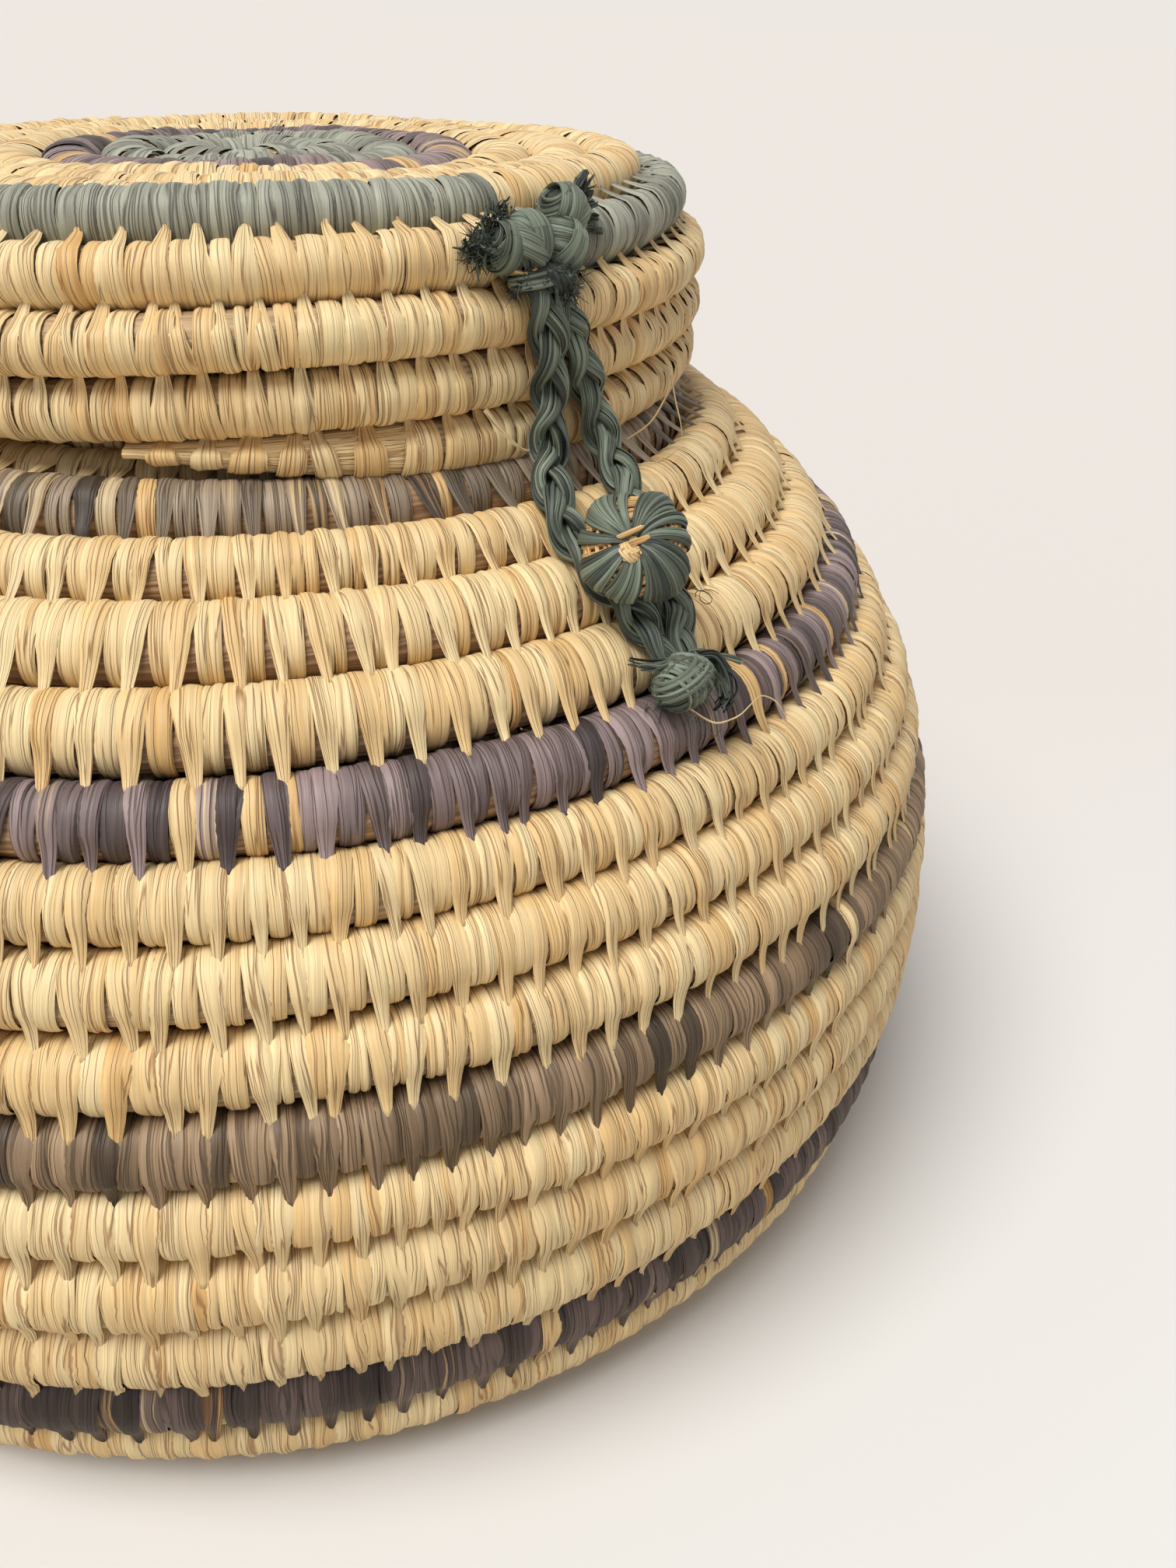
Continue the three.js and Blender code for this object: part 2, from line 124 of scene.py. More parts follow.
class BasketSizes(bpy.types.PropertyGroup):
    """Sizes of the raffia and of its stitches."""
    stitch: bpy.props.FloatProperty(
        name="Stitch spacing", description="From one long stitch to the next along the coil",
        default=0.0052, unit="LENGTH")
    fibre: bpy.props.FloatProperty(
        name="Fibre spacing", description="Between the fibre lines of a raffia strip",
        default=0.00045, unit="LENGTH")
    point: bpy.props.FloatProperty(
        name="Stitch point", description="How far a long stitch reaches past the gap",
        default=0.0022, unit="LENGTH")


# Undyed raffia bleaches towards cream and browns where it is old; its deep shade
# also gives the painted shade in creases. The shares are those of red, green and blue.
CREAM = linear(0xFFF1C8)
TO_CREAM = (0.6, 0.6, 0.55)
BROWNED_AND_CREASE_SHADE = (0.6, 0.5, 0.42)


def natural_shades(colour):
    """The pale, middle and deep shade of an undyed strip."""
    pale = [part + (cream - part) * share for part, cream, share in zip(colour, CREAM, TO_CREAM)]
    deep = [part * share for part, share in zip(colour, BROWNED_AND_CREASE_SHADE)]
    return pale + [1.0], list(colour) + [1.0], deep + [1.0]


def dyed_shades(colour):
    """The pale, middle and deep shade of a dyed strip."""
    pale = [min(part * 2.1 + 0.02, 1.0) for part in colour]
    deep = [part * 0.3 for part in colour]
    return pale + [1.0], list(colour) + [1.0], deep + [1.0]


class BasketColours(bpy.types.PropertyGroup):
    """Colours of the raffia and of the grass."""
    natural: bpy.props.FloatVectorProperty(
        name="Natural raffia", description="Undyed strips",
        default=linear(0xE3B878)[:3], subtype="COLOR")
    purple: bpy.props.FloatVectorProperty(
        name="Purple raffia", description="The upper purple row and the lid's ring",
        default=linear(0x6F6060)[:3], subtype="COLOR")
    deep_purple: bpy.props.FloatVectorProperty(
        name="Deep purple raffia", description="The lower purple row",
        default=linear(0x453734)[:3], subtype="COLOR")
    plum: bpy.props.FloatVectorProperty(
        name="Plum raffia", description="The row that the lid rests over",
        default=linear(0x756858)[:3], subtype="COLOR")
    olive: bpy.props.FloatVectorProperty(
        name="Olive raffia", description="The grey-olive row",
        default=linear(0x735F48)[:3], subtype="COLOR")
    green: bpy.props.FloatVectorProperty(
        name="Green raffia", description="The loop, its knots and the button",
        default=linear(0x5B6558)[:3], subtype="COLOR")
    pale_green: bpy.props.FloatVectorProperty(
        name="Faded green raffia", description="The lid's edge and its middle",
        default=linear(0x787A6E)[:3], subtype="COLOR")
    # The dark green is also the painted shade inside the knots and inside the plait's strands
    dark_green: bpy.props.FloatVectorProperty(
        name="Dark green raffia", description="Creased strips and cut ends",
        default=linear(0x353E38)[:3], subtype="COLOR")
    straw: bpy.props.FloatVectorProperty(
        name="Grass core", description="The bundle of grass inside the coil",
        default=linear(0xDDC294)[:3], subtype="COLOR")


def smooth(value):
    value = np.clip(value, 0, 1)
    return value * value * (3 - 2 * value)


def unit(v):
    return v / np.maximum(np.linalg.norm(v, axis=-1, keepdims=True), 1e-9)


def square_to(way, side):
    """What of a side way is square to the way ahead, at unit length."""
    return unit(side - (side * way).sum(-1, keepdims=True) * way)


def length_along(path):
    """How far along its path each point lies."""
    steps = np.linalg.norm(np.diff(path, axis=-2), axis=-1)
    return np.concatenate([np.zeros(steps.shape[:-1] + (1,)), np.cumsum(steps, axis=-1)], -1)


def curve_by_length(points, steps=4000):
    """A smooth line through points, as a function of the length along it."""
    p = np.array(points, float)
    last = len(p) - 1
    at = np.linspace(0, last, steps)
    i = np.minimum(at.astype(int), last - 1)
    w = (at - i)[:, None]
    p0, p1 = p[np.maximum(i - 1, 0)], p[i]
    p2, p3 = p[i + 1], p[np.minimum(i + 2, last)]
    v0, v1 = (p2 - p0) / 2, (p3 - p1) / 2
    line = ((2 * p1 - 2 * p2 + v0 + v1) * w ** 3 + (-3 * p1 + 3 * p2 - 2 * v0 - v1) * w ** 2
            + v0 * w + p1)
    length = length_along(line)

    def sample(distance):
        d = np.clip(distance, 0, length[-1])
        return np.stack([np.interp(d, length, line[:, k]) for k in range(p.shape[1])], -1)

    sample.length = length[-1]
    return sample


wall_line = curve_by_length(WALL_LINE)
lid_line = curve_by_length(LID_LINE)
ROW_HEIGHT = (wall_line.length - LOW_ROWS * LOW_THICKER) / WALL_ROWS


def body_middle(turn):
    """Radius and height of the basket's coil at a turn."""
    rows = np.asarray(turn, float) + 0.5
    thick = -ROWS_BLEND * np.log(np.exp(-rows / ROWS_BLEND) + np.exp(-LOW_ROWS / ROWS_BLEND))
    higher = np.interp(turn, HIGHER_AT, HIGHER_BY)
    wall = wall_line(rows * ROW_HEIGHT + thick * LOW_THICKER + higher)
    flat = np.stack([BASE_EDGE + BASE_PITCH * rows, np.full(rows.shape, WALL_LINE[0][1])], -1)
    return np.where((rows < 0)[..., None], flat, wall)


def lid_middle(turn):
    """Radius and height of the lid's coil at a turn, before the lid is seated."""
    turn = np.asarray(turn, float)
    flat = np.stack([LID_EDGE + LID_TOP_PITCH * (turn - 0.5), np.full(turn.shape, LID_TOP)], -1)
    return np.where((turn < 0.5)[..., None], flat, lid_line(LID_SIDE_PITCH * (turn - 0.5)))


# A coil wound by hand strays from its line in waves, each with its size, its
# radians to a turn and its start
SWAY_ON = ((0.28, 14.4, 0), (0.2, 31.7, 1))
SWAY_OUT = ((0.25, 17.9, 2), (0.2, 40.3, 0))
# What a coil's tail loses towards its end, as shares of its height and thickness
TAIL_LOWER = 0.7
TAIL_THINNER = 0.3
# Where the lid's coil passes from the top's thickness to the side's, in turns
THICKER_FROM = 0.1
THICKER_OVER = 0.6
SMALLEST_RADIUS = 5.0         # nearer the axis, a turn counts as long as it is here


def stray(turn, waves):
    return sum(size * np.sin(rate * turn + start) for size, rate, start in waves)


class Coil:
    """A coil wound round the axis, whose rows lie against each other."""

    def __init__(self, middle, clockwise, thick, tail, end, flat_thinner=0.0):
        self.middle = middle
        self.flat_thinner = flat_thinner
        self.sign = -1 if clockwise else 1
        self.thick = thick
        self.tail = tail
        self.end = end
        self.seat = np.eye(4)

    def section(self, turn):
        """Middle, way to the next row, way out, half height and half thickness."""
        turn = np.asarray(turn, float)
        middle = self.middle(turn)
        step = self.middle(turn + 0.5) - self.middle(turn - 0.5)
        size = np.linalg.norm(step, axis=-1)
        on = step / size[..., None]
        out = np.stack([on[..., 1], -on[..., 0]], -1) * self.sign
        thin = np.clip((turn - self.end) / self.tail + 1, 0, 1)
        half = size / 2 * (1 - TAIL_LOWER * thin)
        middle = middle - on * (size / 2 - half)[..., None]
        middle = middle + on * stray(turn, SWAY_ON)[..., None]
        middle = middle + out * stray(turn, SWAY_OUT)[..., None]
        flat = 1 - smooth((turn - THICKER_FROM) / THICKER_OVER)
        thick = self.thick - self.flat_thinner * flat
        return middle, on, out, half, thick / 2 * (1 - TAIL_THINNER * thin)

    def azimuth(self, turn):
        return math.radians(HALF_TURN_AT) + self.sign * 2 * math.pi * (turn - 0.5)

    def place(self, turn, outward, onward):
        """Points that lie so far outward and so far towards the next row."""
        middle, on, out, _, _ = self.section(turn)
        r = middle[..., 0] + out[..., 0] * outward + on[..., 0] * onward
        z = middle[..., 1] + out[..., 1] * outward + on[..., 1] * onward
        a = self.azimuth(turn)
        points = np.stack([r * np.cos(a), r * np.sin(a), z], -1)
        return points @ self.seat[:3, :3].T + self.seat[:3, 3]

    def forward(self, turn):
        """The way along the coil."""
        a = self.azimuth(turn)
        way = np.stack([-np.sin(a), np.cos(a), np.zeros_like(a)], -1) * self.sign
        return way @ self.seat[:3, :3].T

    def turn_per_mm(self, turn):
        return 1 / (2 * math.pi * np.maximum(self.middle(turn)[..., 0], SMALLEST_RADIUS))


body_coil = Coil(body_middle, False, WALL_THICK, NECK_TAIL, NECK_END)
lid_coil = Coil(lid_middle, True, LID_THICK, LID_TAIL, LID_END, LID_TOP_THINNER)
tilt_axis = math.radians(LID_TILT_TO - 90)
lid_coil.seat = np.array(
    Matrix.Translation((LID_ASIDE[0], LID_ASIDE[1], LID_TOP + LID_LIFT))
    @ Matrix.Rotation(math.radians(LID_TILT), 4, Vector((math.cos(tilt_axis), math.sin(tilt_axis), 0)))
    @ Matrix.Translation((0, 0, -LID_TOP)))

ACROSS = np.array([-0.5, -0.3, 0.0, 0.3, 0.5])    # points across a strip, in widths


class Weave:
    """Collects strips of raffia and makes one mesh of them."""

    def __init__(self):
        self.batches = []

    def grid(self, points, uv, marks, material):
        """Surfaces of S by J by K points; marks are tone, dye and seed, and one spare."""
        self.batches.append((points, uv, np.broadcast_to(marks, points.shape[:3] + (4,)),
                             material))

    def strips(self, path, across, width, marks, crown, tuck, shift, folds):
        """Strips of raffia along paths, crowned in the middle and tucked at the edges."""
        rise = np.array([-tuck, crown * 0.7, crown, crown * 0.7, -tuck]) + folds[:, None, :]
        way = unit(np.gradient(path, axis=1))
        side = square_to(way, across[:, None, :])
        out = np.cross(side, way)
        off = ACROSS * width[..., None] + shift
        widest = width.max(1, keepdims=True)
        thin = np.clip(width / np.maximum(widest, 1e-6), 0.25, 1)
        points = (path[:, :, None, :] + side[:, :, None, :] * off[..., None]
                  + out[:, :, None, :] * (rise * thin[..., None])[..., None])
        uv = np.broadcast_arrays(ACROSS * widest[..., None], length_along(path)[..., None])
        self.grid(points, np.stack(uv, -1), marks[:, None, None, :], 0)

    def tubes(self, path, side, wide, thick, marks, around=10, material=0):
        """Round or flattened tubes along paths; side is the way across the wide part."""
        way = unit(np.gradient(path, axis=1))
        side = square_to(way, side)
        out = np.cross(side, way)
        a = np.linspace(0, 2 * math.pi, around + 1)
        wide = np.broadcast_to(wide, path.shape[:2])
        thick = np.broadcast_to(thick, path.shape[:2])
        points = (path[:, :, None, :]
                  + side[:, :, None, :] * (wide[..., None] * -np.cos(a))[..., None]
                  + out[:, :, None, :] * (thick[..., None] * np.sin(a))[..., None])
        uv = np.broadcast_arrays(a * wide.max(1)[:, None, None], length_along(path)[..., None])
        self.grid(points, np.stack(uv, -1), marks[:, None, None, :], material)

    def piece(self, name, body, slot, materials, nodes=(), floor=None):
        """The collected mesh as one object that rides on a body."""
        verts, faces, uvs, marks, slots = [], [], [], [], []
        start = 0
        for points, uv, mark, material in self.batches:
            s, j, k = points.shape[:3]
            index = start + np.arange(s * j * k).reshape(s, j, k)
            quads = np.stack([index[:, :-1, :-1], index[:, :-1, 1:], index[:, 1:, 1:],
                              index[:, 1:, :-1]], -1).reshape(-1, 4)
            verts.append(points.reshape(-1, 3))
            faces.append(quads)
            uvs.append(uv.reshape(-1, 2))
            marks.append(np.ascontiguousarray(mark).reshape(-1, 4))
            slots.append(np.full(len(quads), material))
            start += s * j * k
        verts, faces = np.concatenate(verts) * MM, np.concatenate(faces)
        uvs, marks, slots = np.concatenate(uvs), np.concatenate(marks), np.concatenate(slots)
        if floor is not None:
            verts[:, 2] = np.maximum(verts[:, 2], floor * MM)
        mesh = bpy.data.meshes.new(name)
        mesh.vertices.add(len(verts))
        mesh.vertices.foreach_set("co", verts.astype(np.float32).ravel())
        mesh.loops.add(faces.size)
        mesh.loops.foreach_set("vertex_index", faces.astype(np.int32).ravel())
        mesh.polygons.add(len(faces))
        mesh.polygons.foreach_set("loop_start", np.arange(0, faces.size, 4, dtype=np.int32))
        mesh.polygons.foreach_set("material_index", slots.astype(np.int32))
        mesh.polygons.foreach_set("use_smooth", np.ones(len(faces), bool))
        layer = mesh.uv_layers.new(name="strip")
        layer.data.foreach_set("uv", uvs[faces.ravel()].astype(np.float32).ravel())
        mark = mesh.attributes.new("wrap", "FLOAT_COLOR", "POINT")
        mark.data.foreach_set("color", marks.astype(np.float32).ravel())
        mesh.update(calc_edges=True)
        mesh.validate()
        for material in materials:
            mesh.materials.append(material)
        piece = bpy.data.objects.new(name, mesh)
        bpy.context.collection.objects.link(piece)
        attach(piece, body)
        if nodes:
            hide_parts(*nodes)
        return piece


# Materials

SATIN = 0.5                       # roughness of raffia
RAFFIA_IOR = 1.48
PLANT_IOR = 1.45
# Widths and lengths of raffia's patterns; the widths are in fibre spacings
FINE_LINES = (0.5, 18.0)
BROAD_STREAKS = (1.5, 12.0)
CREASES = (1.9, 34.0)
DYE_STREAKS = (1.2, 26.0)
CREASE_WIDE = (0.004, 0.026)      # where a crease is full and where it ends, in noise
# How much painted shade darkens a crease, and that shade's colour as shares of the deep shade
CREASE_SHADE_STRENGTH = 0.7
CREASE_SHADE_SHARES = (0.6, 0.42, 0.32, 1.0)     # shares of the deep shade
# A strip's own tone and a share of its streaks lead from the pale shade to the
# middle one and on to the deep one, and its own dye and a share of the dye's
# streaks from natural to dyed. The fine lines make it darker and lighter.
STREAKS_SHARE = 0.6
TO_MIDDLE = (0.38, 1.0)
TO_DEEP = (0.95, 1.5)
DYE_SHARE = 0.9
TO_DYED = (0.75, 1.05)
LINES = (0.3, 0.7)
LINES_SHADE = (0.78, 1.16)
RAFFIA_RELIEF = 0.16
GRASS_ROUGH = 0.7
GRASS_STALK = (0.7, 30.0)
GRASS_PALER = (0.4, 0.62)
GRASS_RELIEF = 0.4
GRASS_STAINED = (0x6E4A38, 0xB98C66)
BUMP = 0.8
SEED_APART = 40.0                 # how far apart in the noise two seeds are


def add_node(tree, kind, links=None, **settings):
    """Adds a node and gives its outputs; links give a value or an output for an input."""
    node = tree.nodes.new(kind)
    for name, value in settings.items():
        setattr(node, name, value)
    for socket, value in (links or {}).items():
        if isinstance(value, bpy.types.NodeSocket):
            tree.links.new(value, node.inputs[socket])
        else:
            node.inputs[socket].default_value = value
    return node.outputs


def new_material(name, roughness, ior):
    material = bpy.data.materials.new(name)
    material.use_nodes = True
    shader = material.node_tree.nodes["Principled BSDF"]
    shader.inputs["Roughness"].default_value = roughness
    shader.inputs["IOR"].default_value = ior
    return material, material.node_tree, shader


def strip_place(tree):
    """The marks of a strip, and the place on it with its seed as a third axis."""
    wrap = add_node(tree, "ShaderNodeAttribute", attribute_name="wrap")
    marks = add_node(tree, "ShaderNodeSeparateColor", {0: wrap["Color"]})
    uv = add_node(tree, "ShaderNodeUVMap", uv_map="strip")[0]
    flat = add_node(tree, "ShaderNodeSeparateXYZ", {0: uv})
    coords = add_node(tree, "ShaderNodeCombineXYZ", {0: flat[0], 1: flat[1], 2: marks[2]})[0]
    return marks, coords


def streaks(tree, coords, spacing, size, detail=2.0):
    """Noise drawn out along a strip, from a streak's width in spacings and its length."""
    across, along = size
    scaled = add_node(tree, "ShaderNodeVectorMath", {
        0: coords, 1: (1 / (spacing * across), 1 / along, SEED_APART)}, operation="MULTIPLY")[0]
    return add_node(tree, "ShaderNodeTexNoise", {
        "Vector": scaled, "Scale": 1.0, "Detail": detail, "Roughness": 0.55})["Fac"]


# Raffia is the dried skin of a palm leaf, torn into strips. It shows fine fibre
# lines along it, creases where it folds, darkened with painted shade, a satin gloss,
# and where it is dyed the dye is uneven, with the natural colour showing through.
def raffia(name, colours, natural, folded=1.0):
    material, tree, shader = new_material(name, SATIN, RAFFIA_IOR)
    marks, coords = strip_place(tree)
    fibre = bpy.context.scene.basket_sizes.fibre / MM
    fine = streaks(tree, coords, fibre, FINE_LINES)
    broad = streaks(tree, coords, fibre, BROAD_STREAKS)
    folds = streaks(tree, coords, fibre, CREASES, 1.0)
    dye = streaks(tree, coords, fibre, DYE_STREAKS)

    # Creases get painted shade: a darker, browner copy of the deep shade where the crease noise is
    # full
    off_fold = add_node(tree, "ShaderNodeMath", {0: folds, 1: 0.5}, operation="SUBTRACT")[0]
    off_fold = add_node(tree, "ShaderNodeMath", {0: off_fold}, operation="ABSOLUTE")[0]
    crease = add_node(tree, "ShaderNodeMapRange", {
        "Value": off_fold, "From Min": CREASE_WIDE[0], "From Max": CREASE_WIDE[1] * folded,
        "To Min": 1.0, "To Max": 0.0})[0]
    crease_shade = add_node(tree, "ShaderNodeMath", {0: crease, 1: CREASE_SHADE_STRENGTH},
                       operation="MULTIPLY")[0]
    tone = add_node(tree, "ShaderNodeMath", {0: broad, 1: STREAKS_SHARE, 2: marks[0]},
                    operation="MULTIPLY_ADD")[0]
    to_middle = add_node(tree, "ShaderNodeMapRange", {
        "Value": tone, "From Min": TO_MIDDLE[0], "From Max": TO_MIDDLE[1]})[0]
    to_deep = add_node(tree, "ShaderNodeMapRange", {
        "Value": tone, "From Min": TO_DEEP[0], "From Max": TO_DEEP[1]})[0]

    def strip_colour(shades):
        colour, middle, deep = shades
        # The last mix lays the painted shade of the creases over the strip's colour
        fold = [part * share for part, share in zip(deep, CREASE_SHADE_SHARES)]
        for amount, other in ((to_middle, middle), (to_deep, deep), (crease_shade, fold)):
            colour = add_node(tree, "ShaderNodeMix", {0: amount, 6: colour, 7: other},
                              data_type="RGBA")[2]
        return colour

    dye = add_node(tree, "ShaderNodeMath", {0: dye, 1: DYE_SHARE, 2: marks[1]},
                   operation="MULTIPLY_ADD")[0]
    dyed = add_node(tree, "ShaderNodeMapRange", {
        "Value": dye, "From Min": TO_DYED[0], "From Max": TO_DYED[1]})[0]
    colour = add_node(tree, "ShaderNodeMix", {
        0: dyed, 6: strip_colour(natural), 7: strip_colour(colours)}, data_type="RGBA")[2]
    shade = add_node(tree, "ShaderNodeMapRange", {
        "Value": fine, "From Min": LINES[0], "From Max": LINES[1],
        "To Min": LINES_SHADE[0], "To Max": LINES_SHADE[1]})[0]
    colour = add_node(tree, "ShaderNodeVectorMath", {0: colour, "Scale": shade},
                      operation="SCALE")[0]
    tree.links.new(colour, shader.inputs["Base Color"])

    lines = add_node(tree, "ShaderNodeMath", {0: fine, 1: broad}, operation="ADD")[0]
    relief = add_node(tree, "ShaderNodeMath", {0: lines, 1: crease}, operation="SUBTRACT")[0]
    bump = add_node(tree, "ShaderNodeBump", {
        "Height": relief, "Strength": BUMP, "Distance": RAFFIA_RELIEF * MM})[0]
    tree.links.new(bump, shader.inputs["Normal"])
    return material


# The core is a bundle of dry grass. Its stalks run along the coil, straw
# coloured where they are clean and reddish brown where the dye has reached them.
def grass_core(name, straw):
    material, tree, shader = new_material(name, GRASS_ROUGH, PLANT_IOR)
    marks, coords = strip_place(tree)
    stalk = streaks(tree, coords, 1.0, GRASS_STALK)
    amount = add_node(tree, "ShaderNodeMapRange", {
        "Value": stalk, "From Min": GRASS_PALER[0], "From Max": GRASS_PALER[1]})[0]
    pale, middle, _ = natural_shades(straw)
    dark_stain, pale_stain = map(linear, GRASS_STAINED)
    clean = add_node(tree, "ShaderNodeMix", {0: amount, 6: middle, 7: pale},
                     data_type="RGBA")[2]
    stained = add_node(tree, "ShaderNodeMix", {0: amount, 6: dark_stain, 7: pale_stain},
                       data_type="RGBA")[2]
    colour = add_node(tree, "ShaderNodeMix", {0: marks[0], 6: clean, 7: stained},
                      data_type="RGBA")[2]
    tree.links.new(colour, shader.inputs["Base Color"])
    bump = add_node(tree, "ShaderNodeBump", {
        "Height": stalk, "Strength": BUMP, "Distance": GRASS_RELIEF * MM})[0]
    tree.links.new(bump, shader.inputs["Normal"])
    return material


DYES = ("purple", "deep_purple", "plum", "olive", "green", "pale_green", "dark_green")
MATERIALS = {}


def make_materials():
    colours = bpy.context.scene.basket_colours
    natural = natural_shades(colours.natural)
    MATERIALS["natural"] = raffia("raffia_natural", natural, natural)
    for name in DYES:
        MATERIALS[name] = raffia("raffia_" + name, dyed_shades(getattr(colours, name)), natural,
                                 folded=2.0)
    MATERIALS["core"] = grass_core("dry_grass_core", colours.straw)


# Winding

# Angles round a row of coil: 0 faces outward and 90 the next row. A short wrap
# goes all the way round, and a long stitch comes down on both sides.
FULL = np.radians([-180, -150, -120, -96, -76, -60, -44, -28, -12, 4, 20, 36, 52, 68, 86,
                   108, 132, 156, 180])
LONG = np.radians([-22, -8, 6, 20, 34, 48, 62, 76, 92, 112, 136, 160, 184])

# The spread of the stitch spacing, the long stitch's share of it, how often the
# rest is two strips instead of one, and where those two meet
SPACING_SPREAD = (0.84, 1.16)
LONG_SHARE = (0.42, 0.52)
TWO_STRIPS = 0.4
TWO_MEET_AT = (0.38, 0.62)

# A stitch's point pushes the strips beside it apart: so far along the coil, at
# a level and over a height that are shares of the row's half height
PART_REACH = 1.5
PART_LEVEL = 0.5
PART_HEIGHT = 0.42

# A long stitch: its lift off the short ones, how far from its tip and how high
# it lies at its last three points, how it sags over the gap, and how it narrows
LONG_LIFT = 0.16
POINT_STEPS = ((0.0, -0.45), (0.25, 0.16), (0.9, 0.3))
POINT_DEPTH = (0.75, 1.2)     # the spread of its depth
LID_POINT = 0.22              # the lid's points are so much shorter than the wall's
GAP_SAG = 0.35
OUTER_NARROW = np.array([0.1, 0.32, 0.5, 0.62, 0.74, 0.84])
INNER_NARROW = np.array([0.8, 0.5, 0.32, 0.1])
NOT_PARTED = -99.0            # a place too far off for a point to push aside
# It leans over to its point from these angles on, over so many radians
OUTER_LEANS = (1.5, 3.3)
INNER_LEANS = (1.7, 3.0)

# A strip's width, and how much of it comes and goes towards the rows beside it
SHORT_WIDE = (1.02, 0.08)
LONG_WIDE = (1.0, 0.1)

# How strips lie on the core: off it outward and towards the next row, and by
# how much more or less. Crown and tuck are how a strip rises and ends across.
OFF_OUTWARD = 0.1
OFF_ONWARD = -0.12
LIFTED = (-0.06, 0.14)
ASKEW = 0.2
SHORT_CROWN, SHORT_TUCK = 0.14, 0.17
LONG_CROWN, LONG_TUCK = 0.2, 0.2
UNEVEN = 0.055                # of the folds along a strip, less at its edges
UNEVEN_ACROSS = (0.3, 1, 1, 1, 0.3)
OVERLAP = 1.12                # strips are so much wider than their share of the coil
LOWEST = 0.05                 # the base is pressed flat here, where it stands
CORE_INSIDE = (0.45, 0.5)     # how far the core's surface is inside the coil's

# The end of the lid's coil, in turns: its wraps lie apart there, and stalks show
BARE_TAIL = 0.076
BARE_WIDER = 1.5
STALKS_FROM = LID_END - 0.085
STALKS_TO = LID_END + 0.004
STALKS = 150
STALK_WIDE = 0.27             # half the width of a stalk, and half its thickness
STALK_THICK = 0.32


def lay_out(coil, start, end, spacing, rng):
    """Where the strips lie along a coil: turn, width and kind (1 is a long stitch)."""
    rows, bounds = [], []
    turn = start
    while turn < end:
        per_mm = float(coil.turn_per_mm(turn))
        bounds.append(turn)
        whole = spacing * rng.uniform(*SPACING_SPREAD)
        long = whole * rng.uniform(*LONG_SHARE)
        shorts = [whole - long]
        if rng.random() < TWO_STRIPS:
            part = rng.uniform(*TWO_MEET_AT)
            shorts = [shorts[0] * part, shorts[0] * (1 - part)]
        for wide in shorts:
            rows.append((turn + wide / 2 * per_mm, wide, 0))
            turn += wide * per_mm
            bounds.append(turn)
        rows.append((turn + long / 2 * per_mm, long, 1))
        turn += long * per_mm
    return np.array(rows), np.array(bounds)


def find_points(rows, bounds, first):
    """The place in the row before where each long stitch ends, between two strips."""
    used = set()
    points = np.full(len(rows), np.nan)
    for i, (turn, _, kind) in enumerate(rows):
        if not kind or turn - 1 < first:
            continue
        near = np.searchsorted(bounds, turn - 1)
        for k in sorted(range(max(near - 2, 0), min(near + 3, len(bounds))),
                        key=lambda n: abs(bounds[n] - turn + 1)):
            if k not in used:
                used.add(k)
                points[i] = bounds[k]
                break
    return points


def part_from(coil, turns, pierced, onward, amount):
    """How far strips are pushed aside by the stitches that end between them."""
    i = np.clip(np.searchsorted(pierced, turns), 1, len(pierced) - 1)
    left, right = turns - pierced[i - 1], turns - pierced[i]
    near = np.where(np.abs(left) < np.abs(right), left, right)
    mm = near / coil.turn_per_mm(turns)
    _, _, _, half, _ = coil.section(turns)
    return (amount * np.sign(mm) * np.exp(-np.abs(mm) / PART_REACH)
            * np.exp(-((onward - half * PART_LEVEL) / (half * PART_HEIGHT)) ** 2))


def oval(angle, half_out, half_on, power=0.92):
    c, s = np.cos(angle), np.sin(angle)
    return (half_out * np.sign(c) * np.abs(c) ** power, half_on * np.sign(s) * np.abs(s) ** power)


def round_row(coil, angles, lift, turn, rng):
    """How far out and how far on the strips lie, round one row."""
    _, _, _, half, out = coil.section(turn)
    raised = lift + rng.uniform(*LIFTED, turn.shape)
    return oval(angles, out + OFF_OUTWARD + raised, half + OFF_ONWARD + raised * 0.5)


def short_wraps(coil, turn, wide, _, rng):
    """Strips that go round one row, each a little askew: path, width and level."""
    outward, onward = round_row(coil, FULL, 0.0, turn, rng)
    path = coil.place(np.broadcast_to(turn, outward.shape), outward, onward)
    askew = rng.normal(0, ASKEW, turn.shape) * np.sin(FULL)
    path = path + coil.forward(turn[:, 0])[:, None, :] * askew[..., None]
    return path, wide * (SHORT_WIDE[0] + SHORT_WIDE[1] * np.sin(FULL)), onward


def stitch_end(coil, first, tip_turn, sign, steps, rng):
    """A long stitch from its row over the gap to the point in the row before."""
    _, _, _, half, out = coil.section(tip_turn)
    depth = bpy.context.scene.basket_sizes.point / MM * rng.uniform(*POINT_DEPTH, half.shape)
    depth = depth * (1.0 if coil is body_coil else LID_POINT)
    points = []
    for from_tip, rise in POINT_STEPS:
        onward = half - np.maximum(depth - from_tip, 0.1)
        level = out * np.sqrt(np.clip(1 - (onward / half) ** 2, 0.04, 1)) + rise
        points.append(coil.place(tip_turn, sign * level, onward))
    near = points[-1]
    for s in np.arange(1, steps) / steps:
        inward = unit(near * (1, 1, 0)) * (-GAP_SAG * math.sin(math.pi * s) * sign)
        points.append(near + (first - near) * s + inward)
    return np.concatenate(points, 1)


